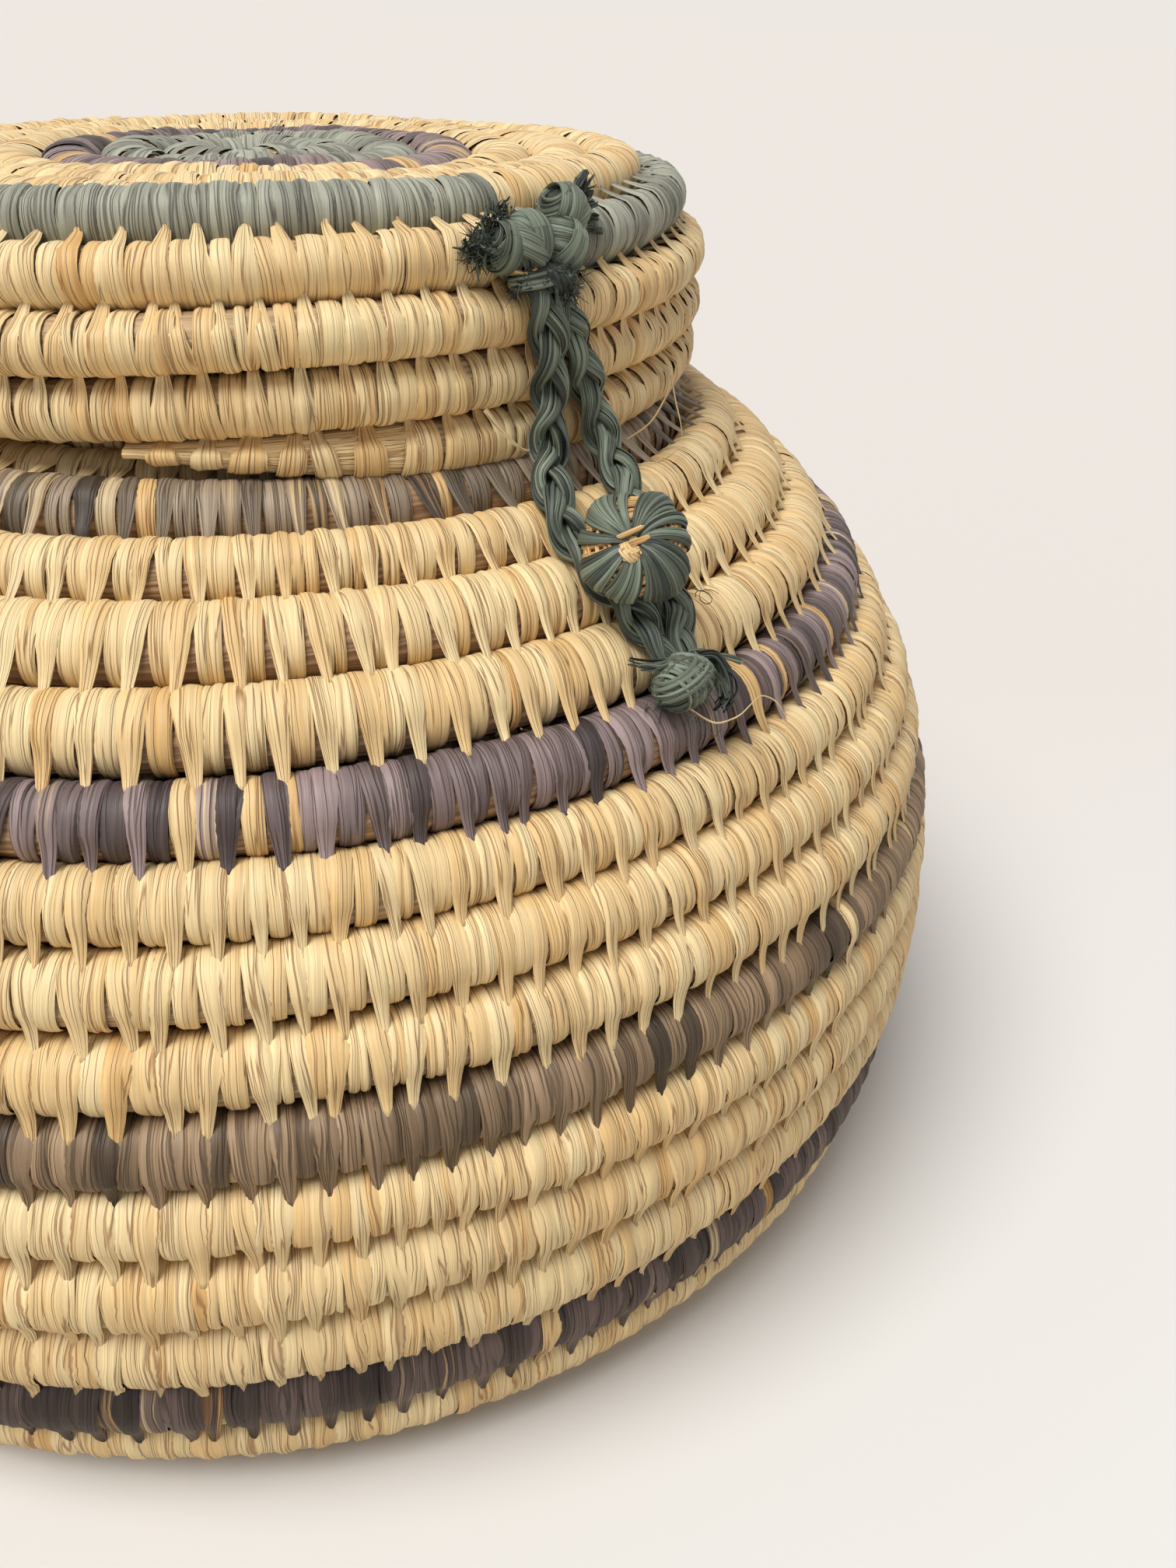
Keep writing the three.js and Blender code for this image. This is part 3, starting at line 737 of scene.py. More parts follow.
def long_stitches(coil, turn, wide, tips, rng):
    """Strips that go on to a point in the row before: path, width and level."""
    outward, onward = round_row(coil, LONG, LONG_LIFT, turn, rng)
    way_down = np.where(LONG < INNER_LEANS[0], (OUTER_LEANS[0] - LONG) / OUTER_LEANS[1],
                        (LONG - INNER_LEANS[0]) / INNER_LEANS[1])
    path = coil.place(turn + (tips + 1 - turn) * smooth(way_down), outward, onward)
    outer = stitch_end(coil, path[:, :1], tips, 1, 4, rng)
    inner = stitch_end(coil, path[:, -1:], tips, -1, 2, rng)[:, ::-1]
    width = wide * (LONG_WIDE[0] + LONG_WIDE[1] * np.sin(LONG))
    width = np.concatenate([wide * OUTER_NARROW, width, wide * INNER_NARROW], 1)
    onward = np.pad(onward, ((0, 0), (len(OUTER_NARROW), len(INNER_NARROW))),
                    constant_values=NOT_PARTED)
    return np.concatenate([outer, path, inner], 1), width, onward


def wind(weave, coil, rows, tips, pierced, opened, marks, rng):
    """Lays short wraps and long stitches round one stretch of coil."""
    turns, widths, kind = rows.T
    long = (kind == 1) & ~np.isnan(tips)
    for lay, chosen, crown, tuck in ((short_wraps, ~long, SHORT_CROWN, SHORT_TUCK),
                                     (long_stitches, long, LONG_CROWN, LONG_TUCK)):
        if not chosen.any():
            continue
        turn = turns[chosen][:, None]
        path, width, onward = lay(coil, turn, widths[chosen][:, None], tips[chosen][:, None], rng)
        at = turn[..., None] + (ACROSS * width[..., None]) * coil.turn_per_mm(turn)[..., None]
        shift = part_from(coil, at, pierced, onward[..., None], opened(at))
        folds = rng.normal(0, UNEVEN, (len(turn), len(ACROSS))) * UNEVEN_ACROSS
        weave.strips(path, coil.forward(turn[:, 0]), width * OVERLAP, marks(turn[:, 0], rng),
                     crown, tuck, shift, folds)


def stalks(weave, coil, rng):
    """Single stalks of the core, at the end of the coil."""
    t = np.linspace(STALKS_FROM, STALKS_TO, 40)
    _, _, _, half, out = coil.section(t)
    for _ in range(STALKS):
        angle = rng.uniform(-1.6, 1.6) + 0.25 * np.sin(t * 40 + rng.uniform(0, 6))
        x, y = oval(angle, out - rng.uniform(0.5, 0.9), half - rng.uniform(0.5, 0.9))
        path = coil.place(t, x, y)
        away = coil.place(t, x + 1, y) - path
        marks = np.array([[rng.uniform(-0.1, 0.6), 1.0, rng.random(), 0.0]])
        weave.tubes(path[None], away[None], STALK_WIDE * rng.uniform(0.7, 1.6), STALK_THICK,
                    marks, around=6)


def core(weave, coil, start, end, tone):
    """The grass core of one stretch of coil."""
    length = (end - start) / float(coil.turn_per_mm((start + end) / 2))
    t = np.linspace(start, end, max(12, int(length / 3.5)))
    _, _, _, half, out = coil.section(t)
    a = np.linspace(0, 2 * math.pi, 13)
    x, y = oval(a, (out - CORE_INSIDE[0])[:, None], (half - CORE_INSIDE[1])[:, None])
    points = coil.place(np.broadcast_to(t[:, None], x.shape), x, y)
    along = (t / coil.turn_per_mm(t))[:, None]
    uv = np.stack(np.broadcast_arrays(a[None, :] * 5, along), -1)
    # The order of the points turns the faces outward whichever way the coil is wound
    weave.grid(points[None, ::coil.sign, ::-1], uv[None, ::coil.sign, ::-1],
               np.array([tone, 1.0, 0.37, 0.0]), 1)


# Tones of strips, and how many of one colour are browner than the rest
ODD_SHARE = 0.04
ODD_TONE = (0.45, 0.7)
DYED_TONE = (-0.1, 0.75)
DARK_TONE = (0.85, 1.2)
# How much dye is left on strips that are natural or faded
NATURAL_DYE = (0, 0.35)
FADED_DYE = (0.5, 0.85)
FEWER = 0.25                  # of the natural strips, away from the side that has most


def plain_marks(deepest=0.48):
    """Strips of one colour, of which a few are browner."""
    def marks(turns, rng):
        n = len(turns)
        tone = np.where(rng.random(n) < ODD_SHARE, rng.uniform(*ODD_TONE, n),
                        rng.uniform(0.0, deepest, n))
        return np.stack([tone, np.ones(n), rng.random(n), rng.random(n)], -1)
    return marks


def mixed_marks(natural, faded, dark, side=None):
    """Dyed strips among which some are left natural, some faded and some dark.

    Where a side's azimuth is given, most of the natural ones are on the half turn up to it.
    """
    def marks(turns, rng):
        n = len(turns)
        draw = rng.random(n)
        share = np.full(n, natural)
        if side is not None:
            where = (body_coil.azimuth(turns) - math.radians(side) + math.pi) % (2 * math.pi)
            share = natural * np.where(where < math.pi, 1.0, FEWER)
        dye = np.where(draw < share, rng.uniform(*NATURAL_DYE, n),
                       np.where(draw < share + faded, rng.uniform(*FADED_DYE, n), 1.0))
        tone = np.where(rng.random(n) < dark, rng.uniform(*DARK_TONE, n),
                        rng.uniform(*DYED_TONE, n))
        return np.stack([tone, dye, rng.random(n), rng.random(n)], -1)
    return marks


# The stretches of each coil: node, first turn, last turn, material and marks
BODY_ROWS = (
    ("base_coil", BASE_START, 0, "natural", plain_marks()),
    ("wall_heel_natural", 0, 1, "natural", plain_marks()),
    ("wall_low_purple", 1, 2, "deep_purple", mixed_marks(0.03, 0.15, 0.25)),
    ("wall_low_natural", 2, 5, "natural", plain_marks()),
    ("wall_middle_olive", 5, 6, "olive", mixed_marks(0.01, 0.1, 0.15)),
    ("wall_middle_natural", 6, 9, "natural", plain_marks()),
    ("wall_high_purple", 9, 10, "purple", mixed_marks(0.16, 0.3, 0.25, -110)),
    ("wall_high_natural", 10, 13, "natural", plain_marks()),
    ("shoulder_plum", 13, 14, "plum", mixed_marks(0.03, 0.35, 0.15)),
    ("neck_natural", 14, 15.5, "natural", plain_marks()),
    ("neck_rim", 15.5, NECK_END, "natural", plain_marks()),
)
LID_ROWS = (
    ("lid_middle_green", LID_START, -3.58, "pale_green", plain_marks(0.5)),
    ("lid_ring_purple", -3.58, -2.58, "purple", mixed_marks(0.06, 0.2, 0.2)),
    ("lid_top_natural", -2.58, EDGE_START, "natural", plain_marks()),
    ("lid_edge_green", EDGE_START, EDGE_START + 1, "pale_green", plain_marks(0.5)),
    ("lid_side_natural", EDGE_START + 1, LID_END, "natural", plain_marks()),
)
SLOTS = {"natural": "raffia_natural", "deep_purple": "raffia_purple_dark",
         "olive": "raffia_olive", "purple": "raffia_purple", "plum": "raffia_plum",
         "pale_green": "raffia_green"}


def wind_coil(coil, stretches, body, start, end, seed, opened, stained, floor=None):
    """Winds a whole coil; opened and stained say how its wraps part and its core looks."""
    rng = np.random.default_rng(seed)
    spacing = bpy.context.scene.basket_sizes.stitch / MM
    rows, bounds = lay_out(coil, start, end, spacing, rng)
    tips = find_points(rows, bounds, start)
    pierced = np.sort(tips[~np.isnan(tips)])
    for node, first, last, material, marks in stretches:
        weave = Weave()
        chosen = (rows[:, 0] >= first) & (rows[:, 0] < last)
        if last == LID_END:
            bare = rows[:, 0] > LID_END - BARE_TAIL
            chosen &= (rows[:, 2] == 1) | ~bare
            rows[bare, 1] *= BARE_WIDER
            stalks(weave, coil, rng)
        wind(weave, coil, rows[chosen], tips[chosen], pierced, opened, marks, rng)
        core(weave, coil, first, last, stained((first + last) / 2))
        weave.piece(node + "_wound", body, SLOTS[material],
                    (MATERIALS[material], MATERIALS["core"]), (node,), floor)


class BASKET_OT_wind_basket(bpy.types.Operator):
    """Winds and sews the basket's base, wall and neck"""
    bl_idname = "basket.wind_basket"
    bl_label = "Wind the basket"

    def execute(self, context):
        # Lower down, the wraps part further and the core is cleaner
        wind_coil(body_coil, BODY_ROWS, "basket", BASE_START, NECK_END, 11,
                  lambda turn: 0.35 + 0.5 * (1 - smooth(turn / 9)),
                  lambda turn: 0.8 * float(smooth((turn - 4) / 6)), LOWEST)
        return {"FINISHED"}


class BASKET_OT_wind_lid(bpy.types.Operator):
    """Winds and sews the lid from the middle of its top"""
    bl_idname = "basket.wind_lid"
    bl_label = "Wind the lid"

    def execute(self, context):
        wind_coil(lid_coil, LID_ROWS, "lid", LID_START, LID_END, 23,
                  lambda turn: np.full(np.shape(turn), 0.4), lambda turn: 0.6)
        return {"FINISHED"}


# The closure

GREEN_SET = ("green", "dark_green", "natural")
LEFT_LEG = ((-1.4, -80.6, 167.6), (-0.5, -81.3, 163), (0.3, -81.2, 158), (0.9, -80.8, 152.6),
            (-0.4, -82.2, 146.6), (-1.9, -84.2, 143.9), (-4.2, -88, 141.2), (-5.2, -91.4, 138.8),
            (-5.5, -94.4, 136.3), (-4.7, -98.9, 132.6), (-3.1, -102.6, 129.4),
            (-1.9, -105.7, 126.4), (-1.2, -109.2, 123.2))
RIGHT_LEG = ((2.2, -79.4, 167.2), (4.6, -79.5, 162.4), (7.6, -79.3, 157.4), (10, -79.1, 152),
             (10.9, -81.2, 146.2), (10.5, -84.2, 143.5), (9.5, -87.7, 141.1), (8.4, -90.8, 139.2),
             (7.2, -95.6, 135.2), (6, -100.3, 130.8), (4.6, -104.6, 127), (3.1, -107.3, 124.8),
             (1.9, -109.4, 122.6))
LID_RIM = 152.0                       # below this height the loop passes to the shoulder
PLAIT_WIDE = 5.9
PLAIT_THICK = 3.7
PLAIT_PERIOD = 23.0                   # length after which a strand is back in its place
PLAIT_ENDS = 6.0                      # length over which the plait draws in at an end
STRAND_WIDE = PLAIT_WIDE * 0.29       # half the width of one of its three strands
STRAND_FLAT = 0.75                    # half the thickness of a strand
STRAND_STRIPS = 10                    # strips round a strand
EDGE_NARROWER = 0.42                  # what a strand's width loses at the plait's edges
STRAIGHT = 0.95                       # how straight the strands cross; 1 is a zigzag
BUTTON_TURN = 11.44                   # the row that the button sits at
BUTTON_SIDE = -3.0                    # how far to the side of the closure's middle
BUTTON_RISE = 14.4                    # how far off the middle of the coil
BUTTON_RADIUS = 8.2
BUTTON_DEPTH = 9.4
BUTTON_LEANS = (-0.75, -0.06, 0.0)    # how its face turns away from the wall's way out
BUTTON_MIDDLE = (-1.3, -1.4, BUTTON_DEPTH / 2 - 1.1)
SHANK_SIDE = 0.5                      # where its shank leaves the wall
# Marks of the dark raffia inside a knot and inside a strand, painted shade between the strips over it
SHADE_FILLING = np.array([[0.8, 1.0, 0.3, 0.0]])
STRAND_SHADE_CORE = np.array([[0.9, 1.0, 0.3, 0.0]])


def on_wall(turn, side, rise):
    """A point so far to the side of the closure's middle and off the coil, and the way out."""
    centre = body_middle(turn)
    step = unit(body_middle(turn + 0.5) - body_middle(turn - 0.5))
    radius = centre[0] + step[1] * rise
    azimuth = side / radius - math.pi / 2
    return np.array([radius * math.cos(azimuth), radius * math.sin(azimuth),
                     centre[1] - step[0] * rise]), np.array([0, -step[1], -step[0]])


def even_line(points, spacing):
    """Points at even steps along a smooth line."""
    line = curve_by_length(points, 900)
    return line(np.linspace(0, line.length, max(5, int(line.length / spacing))))


def off_surface(path):
    """The way off the lid's side and the shoulder along the loop."""
    level = np.array([0, 0, 1.0]) * (1.15 * smooth((LID_RIM - path[:, 2]) / 12))[:, None]
    flat = np.stack([path[:, 0] * 0.4, path[:, 1], np.zeros(len(path))], -1)
    return unit(unit(flat) + level)


def green_marks(rng, low=0.05, high=0.7):
    return np.array([[rng.uniform(low, high), 1.0, rng.random(), rng.random()]])


def braid(weave, points, rng, phase):
    """Three strands of flat raffia strips that cross each other along a line."""
    path = even_line(points, 0.5)
    way = unit(np.gradient(path, axis=0))
    out = square_to(way, off_surface(path))
    side = np.cross(way, out)
    along = length_along(path)
    ends = smooth(along / PLAIT_ENDS) * smooth((along[-1] - along) / PLAIT_ENDS)
    angles = np.linspace(0, 2 * math.pi, 200)
    rim = length_along(np.stack([STRAND_WIDE * np.cos(angles), STRAND_FLAT * np.sin(angles)], -1))
    for k in range(3):
        angle = 2 * math.pi * (along / PLAIT_PERIOD + k / 3) + phase
        angle = angle + 0.12 * np.sin(along * 0.23 + 2 * k)
        run = np.arcsin(STRAIGHT * np.sin(angle)) / math.asin(STRAIGHT)
        narrow = 1 - EDGE_NARROWER * run ** 2
        across = (PLAIT_WIDE / 2 - STRAND_WIDE * 0.6) * (0.55 + 0.45 * ends) * run
        over = (PLAIT_THICK / 2 - STRAND_FLAT) * (0.3 + 0.7 * ends) * np.sin(2 * angle)
        middle = path + side * across[:, None] + out * over[:, None]
        tilt = unit(out + side * (0.55 * run)[:, None])
        beside = unit(np.cross(unit(np.gradient(middle, axis=0)), tilt))
        # A dark tube inside the strand, painted shade that shows between its strips
        weave.tubes(middle[None], beside[None], ((STRAND_WIDE - 0.35) * narrow)[None],
                    STRAND_FLAT - 0.25, STRAND_SHADE_CORE, material=1)
        tone = rng.uniform(0.0, 0.3)
        for n in range(STRAND_STRIPS):
            place = (n + rng.uniform(-0.2, 0.2)) / STRAND_STRIPS
            at = np.interp(place * rim[-1], rim, angles)
            at = at + 0.05 * np.sin(along * rng.uniform(0.3, 0.7) + rng.uniform(0, 6))
            high = (STRAND_FLAT - 0.05 + rng.normal(0, 0.16)) * (2 - narrow)
            line = (middle + beside * ((STRAND_WIDE - 0.1) * narrow * np.cos(at))[:, None]
                    + tilt * (high * np.sin(at))[:, None])
            face = (tilt * (STRAND_FLAT * np.cos(at))[:, None]
                    - beside * (STRAND_WIDE * np.sin(at))[:, None])
            marks = np.array([[tone + rng.uniform(-0.2, 0.9), 1.0, rng.random(), 0.0]])
            weave.tubes(line[None], unit(face)[None], 0.42 * rng.uniform(0.7, 1.15), 0.13, marks,
                        around=7, material=1 if rng.random() < 0.12 else 0)


def ball(weave, centre, half, material, marks, frame=None):
    """A rounded filling that wound bundles lie on."""
    a = np.linspace(0, 2 * math.pi, 17)[None, :]
    b = np.linspace(-math.pi / 2, math.pi / 2, 9)[:, None]
    points = np.stack([np.cos(b) * np.cos(a), np.cos(b) * np.sin(a), np.sin(b) + 0 * a], -1) * half
    if frame is not None:
        points = points @ frame.T
    points = points + centre
    uv = np.stack([a * 3 + 0 * b, b * 3 + 0 * a], -1)
    weave.grid(points[None], uv[None], marks[0], material)


def wound(weave, centre, half, bands, rng, wide=0.7, thick=0.17, frame=None, low=0.05, high=0.7):
    """Bundles wound round a ball: way, shift, spread, count, lift and material of each."""
    centre, half = np.array(centre, float), np.array(half, float)
    frame = np.eye(3) if frame is None else frame
    t = np.linspace(0, 2 * math.pi, 41)
    for way, shift, spread, count, lift, material in bands:
        normal = unit(np.array(way, float))
        u = unit(np.cross(normal, (0.3, 0.51, 0.81)))
        v = np.cross(normal, u)
        tone = rng.uniform(low, (low + high) / 2)
        for k in range(count):
            level = shift + spread * ((k + 0.5) / count * 2 - 1)
            level = level + 0.05 * np.sin(t * rng.integers(1, 3) + rng.uniform(0, 6.3))
            level = np.clip(level, -0.96, 0.96)[:, None]
            round_ = (u * np.cos(t)[:, None] + v * np.sin(t)[:, None]) * np.sqrt(1 - level ** 2)
            rise = lift + rng.normal(0, 0.06)
            path = ((normal * level + round_) * (half + rise)) @ frame.T + centre
            side = np.broadcast_to(normal @ frame.T, path.shape)
            marks = green_marks(rng, max(tone - 0.15, 0), min(tone + (high - low) * 0.6, 1.1))
            weave.tubes(path[None], side[None], wide * rng.uniform(0.8, 1.2), thick, marks,
                        around=8, material=material)


def fringe(weave, root, size, way, spread, count, length, rng, wide=0.22, material=1, bend=0.25,
           low=0.4, high=1.1):
    """Cut ends of raffia that stand out of a knot."""
    s = np.linspace(0, 1, 6)[:, None]
    way = unit(np.array(way, float))
    for _ in range(count):
        start = np.array(root, float) + rng.normal(0, 1, 3) * size
        aim = unit(way + rng.normal(0, spread, 3))
        curl = rng.normal(0, bend, 3)
        far = length * rng.uniform(0.55, 1.15)
        path = start + aim * s * far + curl * far * s ** 2
        taper = (wide * rng.uniform(0.5, 1.5)) * (1 - 0.55 * s[:, 0] ** 2)
        weave.tubes(path[None], rng.normal(0, 1, (1, 1, 3)) + np.zeros((1, 6, 1)), taper[None],
                    taper[None] * 0.35, green_marks(rng, low, high), around=4, material=material)


def bundle(weave, points, count, rng, wide=0.32, thick=0.2, loose=0.5, material=0, low=0.1,
           high=0.8, fray=0.0):
    """A few strips that run side by side along a line and spread at its end."""
    path = even_line(points, 0.5)
    s = np.linspace(0, 1, len(path))[:, None]
    way = unit(np.gradient(path, axis=0))
    for _ in range(count):
        offset = rng.normal(0, 1, 3) * loose
        line = path + offset * (0.6 + fray * s ** 2) + 0.15 * np.sin(s * rng.uniform(3, 9) + offset)
        taper = wide * rng.uniform(0.7, 1.3) * (1 - 0.5 * s[:, 0] ** 4)
        side = np.cross(way, unit(rng.normal(0, 1, 3)))
        weave.tubes(line[None], side[None], taper[None], thick, green_marks(rng, low, high),
                    around=5, material=material)


def hair(weave, points, wide, material, rng, low=0.1, high=0.6, flat=0.6):
    """One loose fibre."""
    path = even_line(points, 0.7)
    taper = wide * np.clip(np.linspace(1.15, 0.45, len(path)), 0, 1)
    side = np.broadcast_to(np.array([0.3, 0.2, 0.9]), path.shape)
    weave.tubes(path[None], side[None], taper[None], taper[None] * flat,
                green_marks(rng, low, high), around=5, material=material)


def lump(weave, centre, shade_ball, half, bands, rng, **winding):
    """One lump of a knot: bundles wound round a dark filling, painted shade that shows between them.
    """
    ball(weave, centre, shade_ball, 1, SHADE_FILLING)
    wound(weave, centre, half, bands, rng, **winding)


def green_materials():
    return [MATERIALS[name] for name in GREEN_SET]


def straw_materials():
    return [MATERIALS[name] for name in ("natural", "core", "dark_green")]


class BASKET_OT_plait_loop(bpy.types.Operator):
    """Plaits the two legs of the closure's loop"""
    bl_idname = "basket.plait_loop"
    bl_label = "Plait the loop"

    def execute(self, context):
        rng = np.random.default_rng(5)
        for name, node, points, phase in (
                ("left_leg_plaited", "loop_left_plait", LEFT_LEG, 0.4),
                ("right_leg_plaited", "loop_right_plait", RIGHT_LEG, 2.2)):
            weave = Weave()
            braid(weave, points, rng, phase)
            for at in even_line(points, 4.0)[2:-2:3]:
                fringe(weave, at + off_surface(at[None])[0] * 1.2, 0.8, (0, -0.3, -1), 0.5, 1, 3.4,
                       rng, wide=0.1, material=rng.integers(0, 2))
            leg = weave.piece(name, "closure_loop", "raffia_green", green_materials(), (node,))
            route = even_line(points, 3.5) * MM
        return {"FINISHED"}


def left_knot(weave, rng):
    """Two lumps where the left leg is tied, and a brush of cut ends beside them."""
    lump(weave, (-2.5, -78.4, 173.2), (3.1, 3.0, 3.5), (3.2, 3.1, 3.6), (
        ((0.8, 0.1, 0.55), 0.05, 0.85, 9, 0.0, 0), ((0.9, 0, 0.1), 0.35, 0.4, 5, 0.35, 0),
        ((0.4, 0.1, 0.9), -0.3, 0.3, 4, 0.5, 0)), rng)
    lump(weave, (-5.8, -78.2, 172.6), (2.8, 2.6, 2.9), (2.9, 2.7, 3.0), (
        ((0.75, 0, -0.66), 0.0, 0.9, 8, 0.0, 0), ((0.9, 0, -0.3), -0.2, 0.4, 4, 0.3, 0)), rng)
    bundle(weave, ((-6.2, -79.2, 170.0), (-4, -80.2, 169.4), (-1.6, -80.4, 170.2)), 5, rng,
           material=2, low=0.5, high=1.0)
    # A dark ball under the cut ends, painted shade that shows between them
    ball(weave, (-8.4, -77.2, 172.8), (2.0, 1.9, 2.2), 1, SHADE_FILLING)
    fringe(weave, (-8.8, -77.4, 172.8), 0.95, (-0.5, -0.5, 0), 1.0, 240, 0.95, rng, 0.14,
           bend=0.9, low=0.0, high=0.7)
    fringe(weave, (-8.8, -77.4, 172.6), 1.0, (-0.6, -0.6, 0), 0.95, 300, 1.05, rng, 0.16, 0,
           bend=0.9, low=0.3, high=1.2)
    fringe(weave, (-6.6, -76.8, 175.6), 0.8, (-0.3, -0.1, 1), 0.6, 90, 1.1, rng, 0.18,
           bend=0.6, low=0.0, high=0.7)
    fringe(weave, (-4.4, -76.4, 176.3), 0.7, (0.1, 0, 1), 0.6, 50, 1.0, rng, 0.18, bend=0.5)


def right_knot(weave, rng):
    """Two lumps where the right leg is tied, and a flat fan of cut ends beside them."""
    lump(weave, (6.4, -76.3, 176.5), (3.2, 2.9, 2.8), (3.4, 3.1, 3.0), (
        ((-0.55, 0.1, 0.83), 0.0, 0.92, 9, 0.0, 0), ((-0.9, 0.1, 0.3), 0.3, 0.3, 4, 0.3, 0)), rng)
    lump(weave, (4.4, -78.3, 172.4), (3.0, 2.7, 3.2), (3.2, 2.9, 3.4), (
        ((0.3, 0.1, 0.95), 0.0, 0.92, 9, 0.0, 0), ((0.8, 0, -0.6), 0.1, 0.5, 5, 0.3, 0)), rng)
    for drop in np.linspace(0, 1, 6):
        root = np.array([9.2 + 0.9 * drop, -75.4 - 0.6 * drop, 179.2 - 5.2 * drop])
        reach = 1.9 + 2.2 * drop + rng.normal(0, 0.2)
        lean = np.array([1.0, 0.2, 0.9 - 1.1 * drop])
        for n in range(5):
            edge = root + (rng.normal(0, 0.12), -0.5 + 0.25 * n, rng.normal(0, 0.1))
            bundle(weave, (edge, edge + lean * reach * 0.5, edge + lean * reach), 2, rng, 0.42,
                   0.13, 0.1, 1, 0.2, 1.1, 0.3)
    fringe(weave, (10.2, -75.0, 178.4), 0.6, (0.8, 0.1, 0.7), 0.3, 30, 1.9, rng, 0.24)


def knots_tie(weave, rng):
    """The dark tie that binds both knots to the lid, with its frayed ends."""
    lump(weave, (-0.2, -79.6, 168.4), (5.0, 1.9, 1.7), (5.2, 2.1, 1.8), (
        ((0.2, 0, 1), 0.0, 0.8, 7, 0.1, 1), ((1, 0.1, 0.3), 0.2, 0.3, 5, 0.4, 1),
        ((-0.3, 0.1, 1), 0.2, 0.4, 3, 0.3, 0)), rng, wide=0.38, thick=0.3, low=0.2, high=0.9)
    wound(weave, (0.6, -81.2, 168.9), (1.2, 0.8, 1.0), (
        ((1, 0, 0.5), 0.0, 0.6, 4, 0.1, 1), ((0, 1, 0.6), 0.0, 0.6, 4, 0.1, 1)), rng, 0.3)
    fringe(weave, (3.4, -80.8, 168.6), 0.8, (0.8, -0.2, -0.1), 0.7, 90, 1.3, rng, 0.14,
           bend=0.8, low=0.0, high=0.8)
    fringe(weave, (3.2, -80.8, 167.4), 0.7, (0.5, -0.2, -1), 0.5, 50, 1.7, rng, 0.12, 0, bend=0.8)
    fringe(weave, (-4.6, -80.6, 168.2), 0.6, (-1, -0.1, -0.4), 0.4, 30, 1.9, rng, 0.13)
    fringe(weave, (-0.6, -81.6, 168.4), 1.2, (-0.4, -0.6, -0.3), 0.7, 40, 1.4, rng, 0.1)


def end_knot(weave, rng):
    """The knot that joins both legs at the loop's end, with its loose bundles."""
    lump(weave, (-0.8, -111.9, 120.8), (4.0, 2.8, 3.2), (4.4, 3.0, 3.5), (
        ((0.3, 0.2, 1), 0.1, 0.7, 7, 0.0, 0), ((1, 0.2, 0.3), -0.3, 0.4, 5, 0.35, 0),
        ((0.7, 0, -0.8), 0.2, 0.5, 5, 0.3, 1), ((-0.4, 0.3, 0.9), 0.3, 0.4, 4, 0.5, 0),
        ((0.9, 0.4, 0.8), 0.4, 0.3, 4, 0.5, 0), ((0.2, 1, 0.1), 0.1, 0.3, 3, 0.4, 0)),
        rng, wide=0.42, thick=0.26, low=0.0, high=0.9)
    bundle(weave, ((-2, -111, 123.6), (-5.5, -110.2, 124.2), (-8.2, -109.2, 125)), 5, rng, 0.24,
           0.12, 0.45, 1, 0.1, 1.0, 0.8)
    bundle(weave, ((-1, -111.8, 124), (-4.6, -111, 124), (-8.6, -109.8, 124.2)), 3, rng, 0.3,
           0.12, 0.4, 0, 0.1, 0.6, 0.6)
    bundle(weave, ((0.8, -110.4, 123.9), (4.2, -110.9, 123.4), (7.6, -111.6, 122.3),
                   (10.2, -112.5, 121)), 6, rng, 0.4, 0.14, 0.4, 0, 0.0, 0.4, -0.4)
    bundle(weave, ((1.6, -111.4, 123.6), (4.6, -112.2, 123), (6, -113.6, 120.6),
                   (5.4, -115, 118), (3.4, -115.6, 117)), 12, rng, 0.36, 0.16, 0.6, 1, 0.2,
           1.1, 0.5)
    bundle(weave, ((2.6, -113.4, 122), (4.2, -114.4, 120.4), (4.4, -115.2, 118.4)), 7, rng,
           0.4, 0.16, 0.5, 0, 0.2, 0.9, 0.6)
    fringe(weave, (0, -114, 117.6), 1.8, (0.2, -0.6, -1), 0.7, 40, 1.9, rng, 0.09, 0)
    fringe(weave, (-4.4, -112.4, 119.6), 0.9, (-1, -0.2, -0.7), 0.5, 12, 3.2, rng, 0.14, 1)
    hair(weave, ((-2, -114.6, 118.2), (-0.6, -116.2, 116.9), (1, -117.4, 116.2),
                 (4.5, -117.9, 116.4), (8, -117.2, 117), (11, -116.4, 117),
                 (13.4, -117.4, 115.6), (14.2, -119, 113), (13, -120, 111)), 0.14, 2, rng)


KNOTS = (
    (left_knot, "left_knot_tied", "lid", "raffia_green", ("knot_top_left", "tuft_top_left")),
    (right_knot, "right_knot_tied", "lid", "raffia_green", ("knot_top_right", "tuft_top_right")),
    (knots_tie, "tie_wound", "lid", "raffia_green_dark", ("knot_top_tie",)),
    (end_knot, "end_knot_tied", "closure_loop", "raffia_green", ("loop_end_knot", "tuft_end")),
)


class BASKET_OT_tie_knots(bpy.types.Operator):
    """Ties the knots at both ends of the loop and leaves their cut ends"""
    bl_idname = "basket.tie_knots"
    bl_label = "Tie the knots"

    def execute(self, context):
        rng = np.random.default_rng(9)
        for tie, name, body, slot, nodes in KNOTS:
            weave = Weave()
            tie(weave, rng)
            weave.piece(name, body, slot, green_materials(), nodes)
        return {"FINISHED"}


# Where the button's green folds lie round its face, in degrees: from, to and
# lift. Between them the straw coil that they are wound over shows.
FOLDS = ((-108, -40, 1.25), (-30, -12, 0.35), (-8, 10, 0.6), (12, 50, 0.95), (66, 76, 0.2),
         (79, 124, 0.8), (133, 150, 0.15), (168, 206, 0.75), (208, 246, 0.5))
FOLD_STRIP = 5                # degrees that one strip of a fold takes


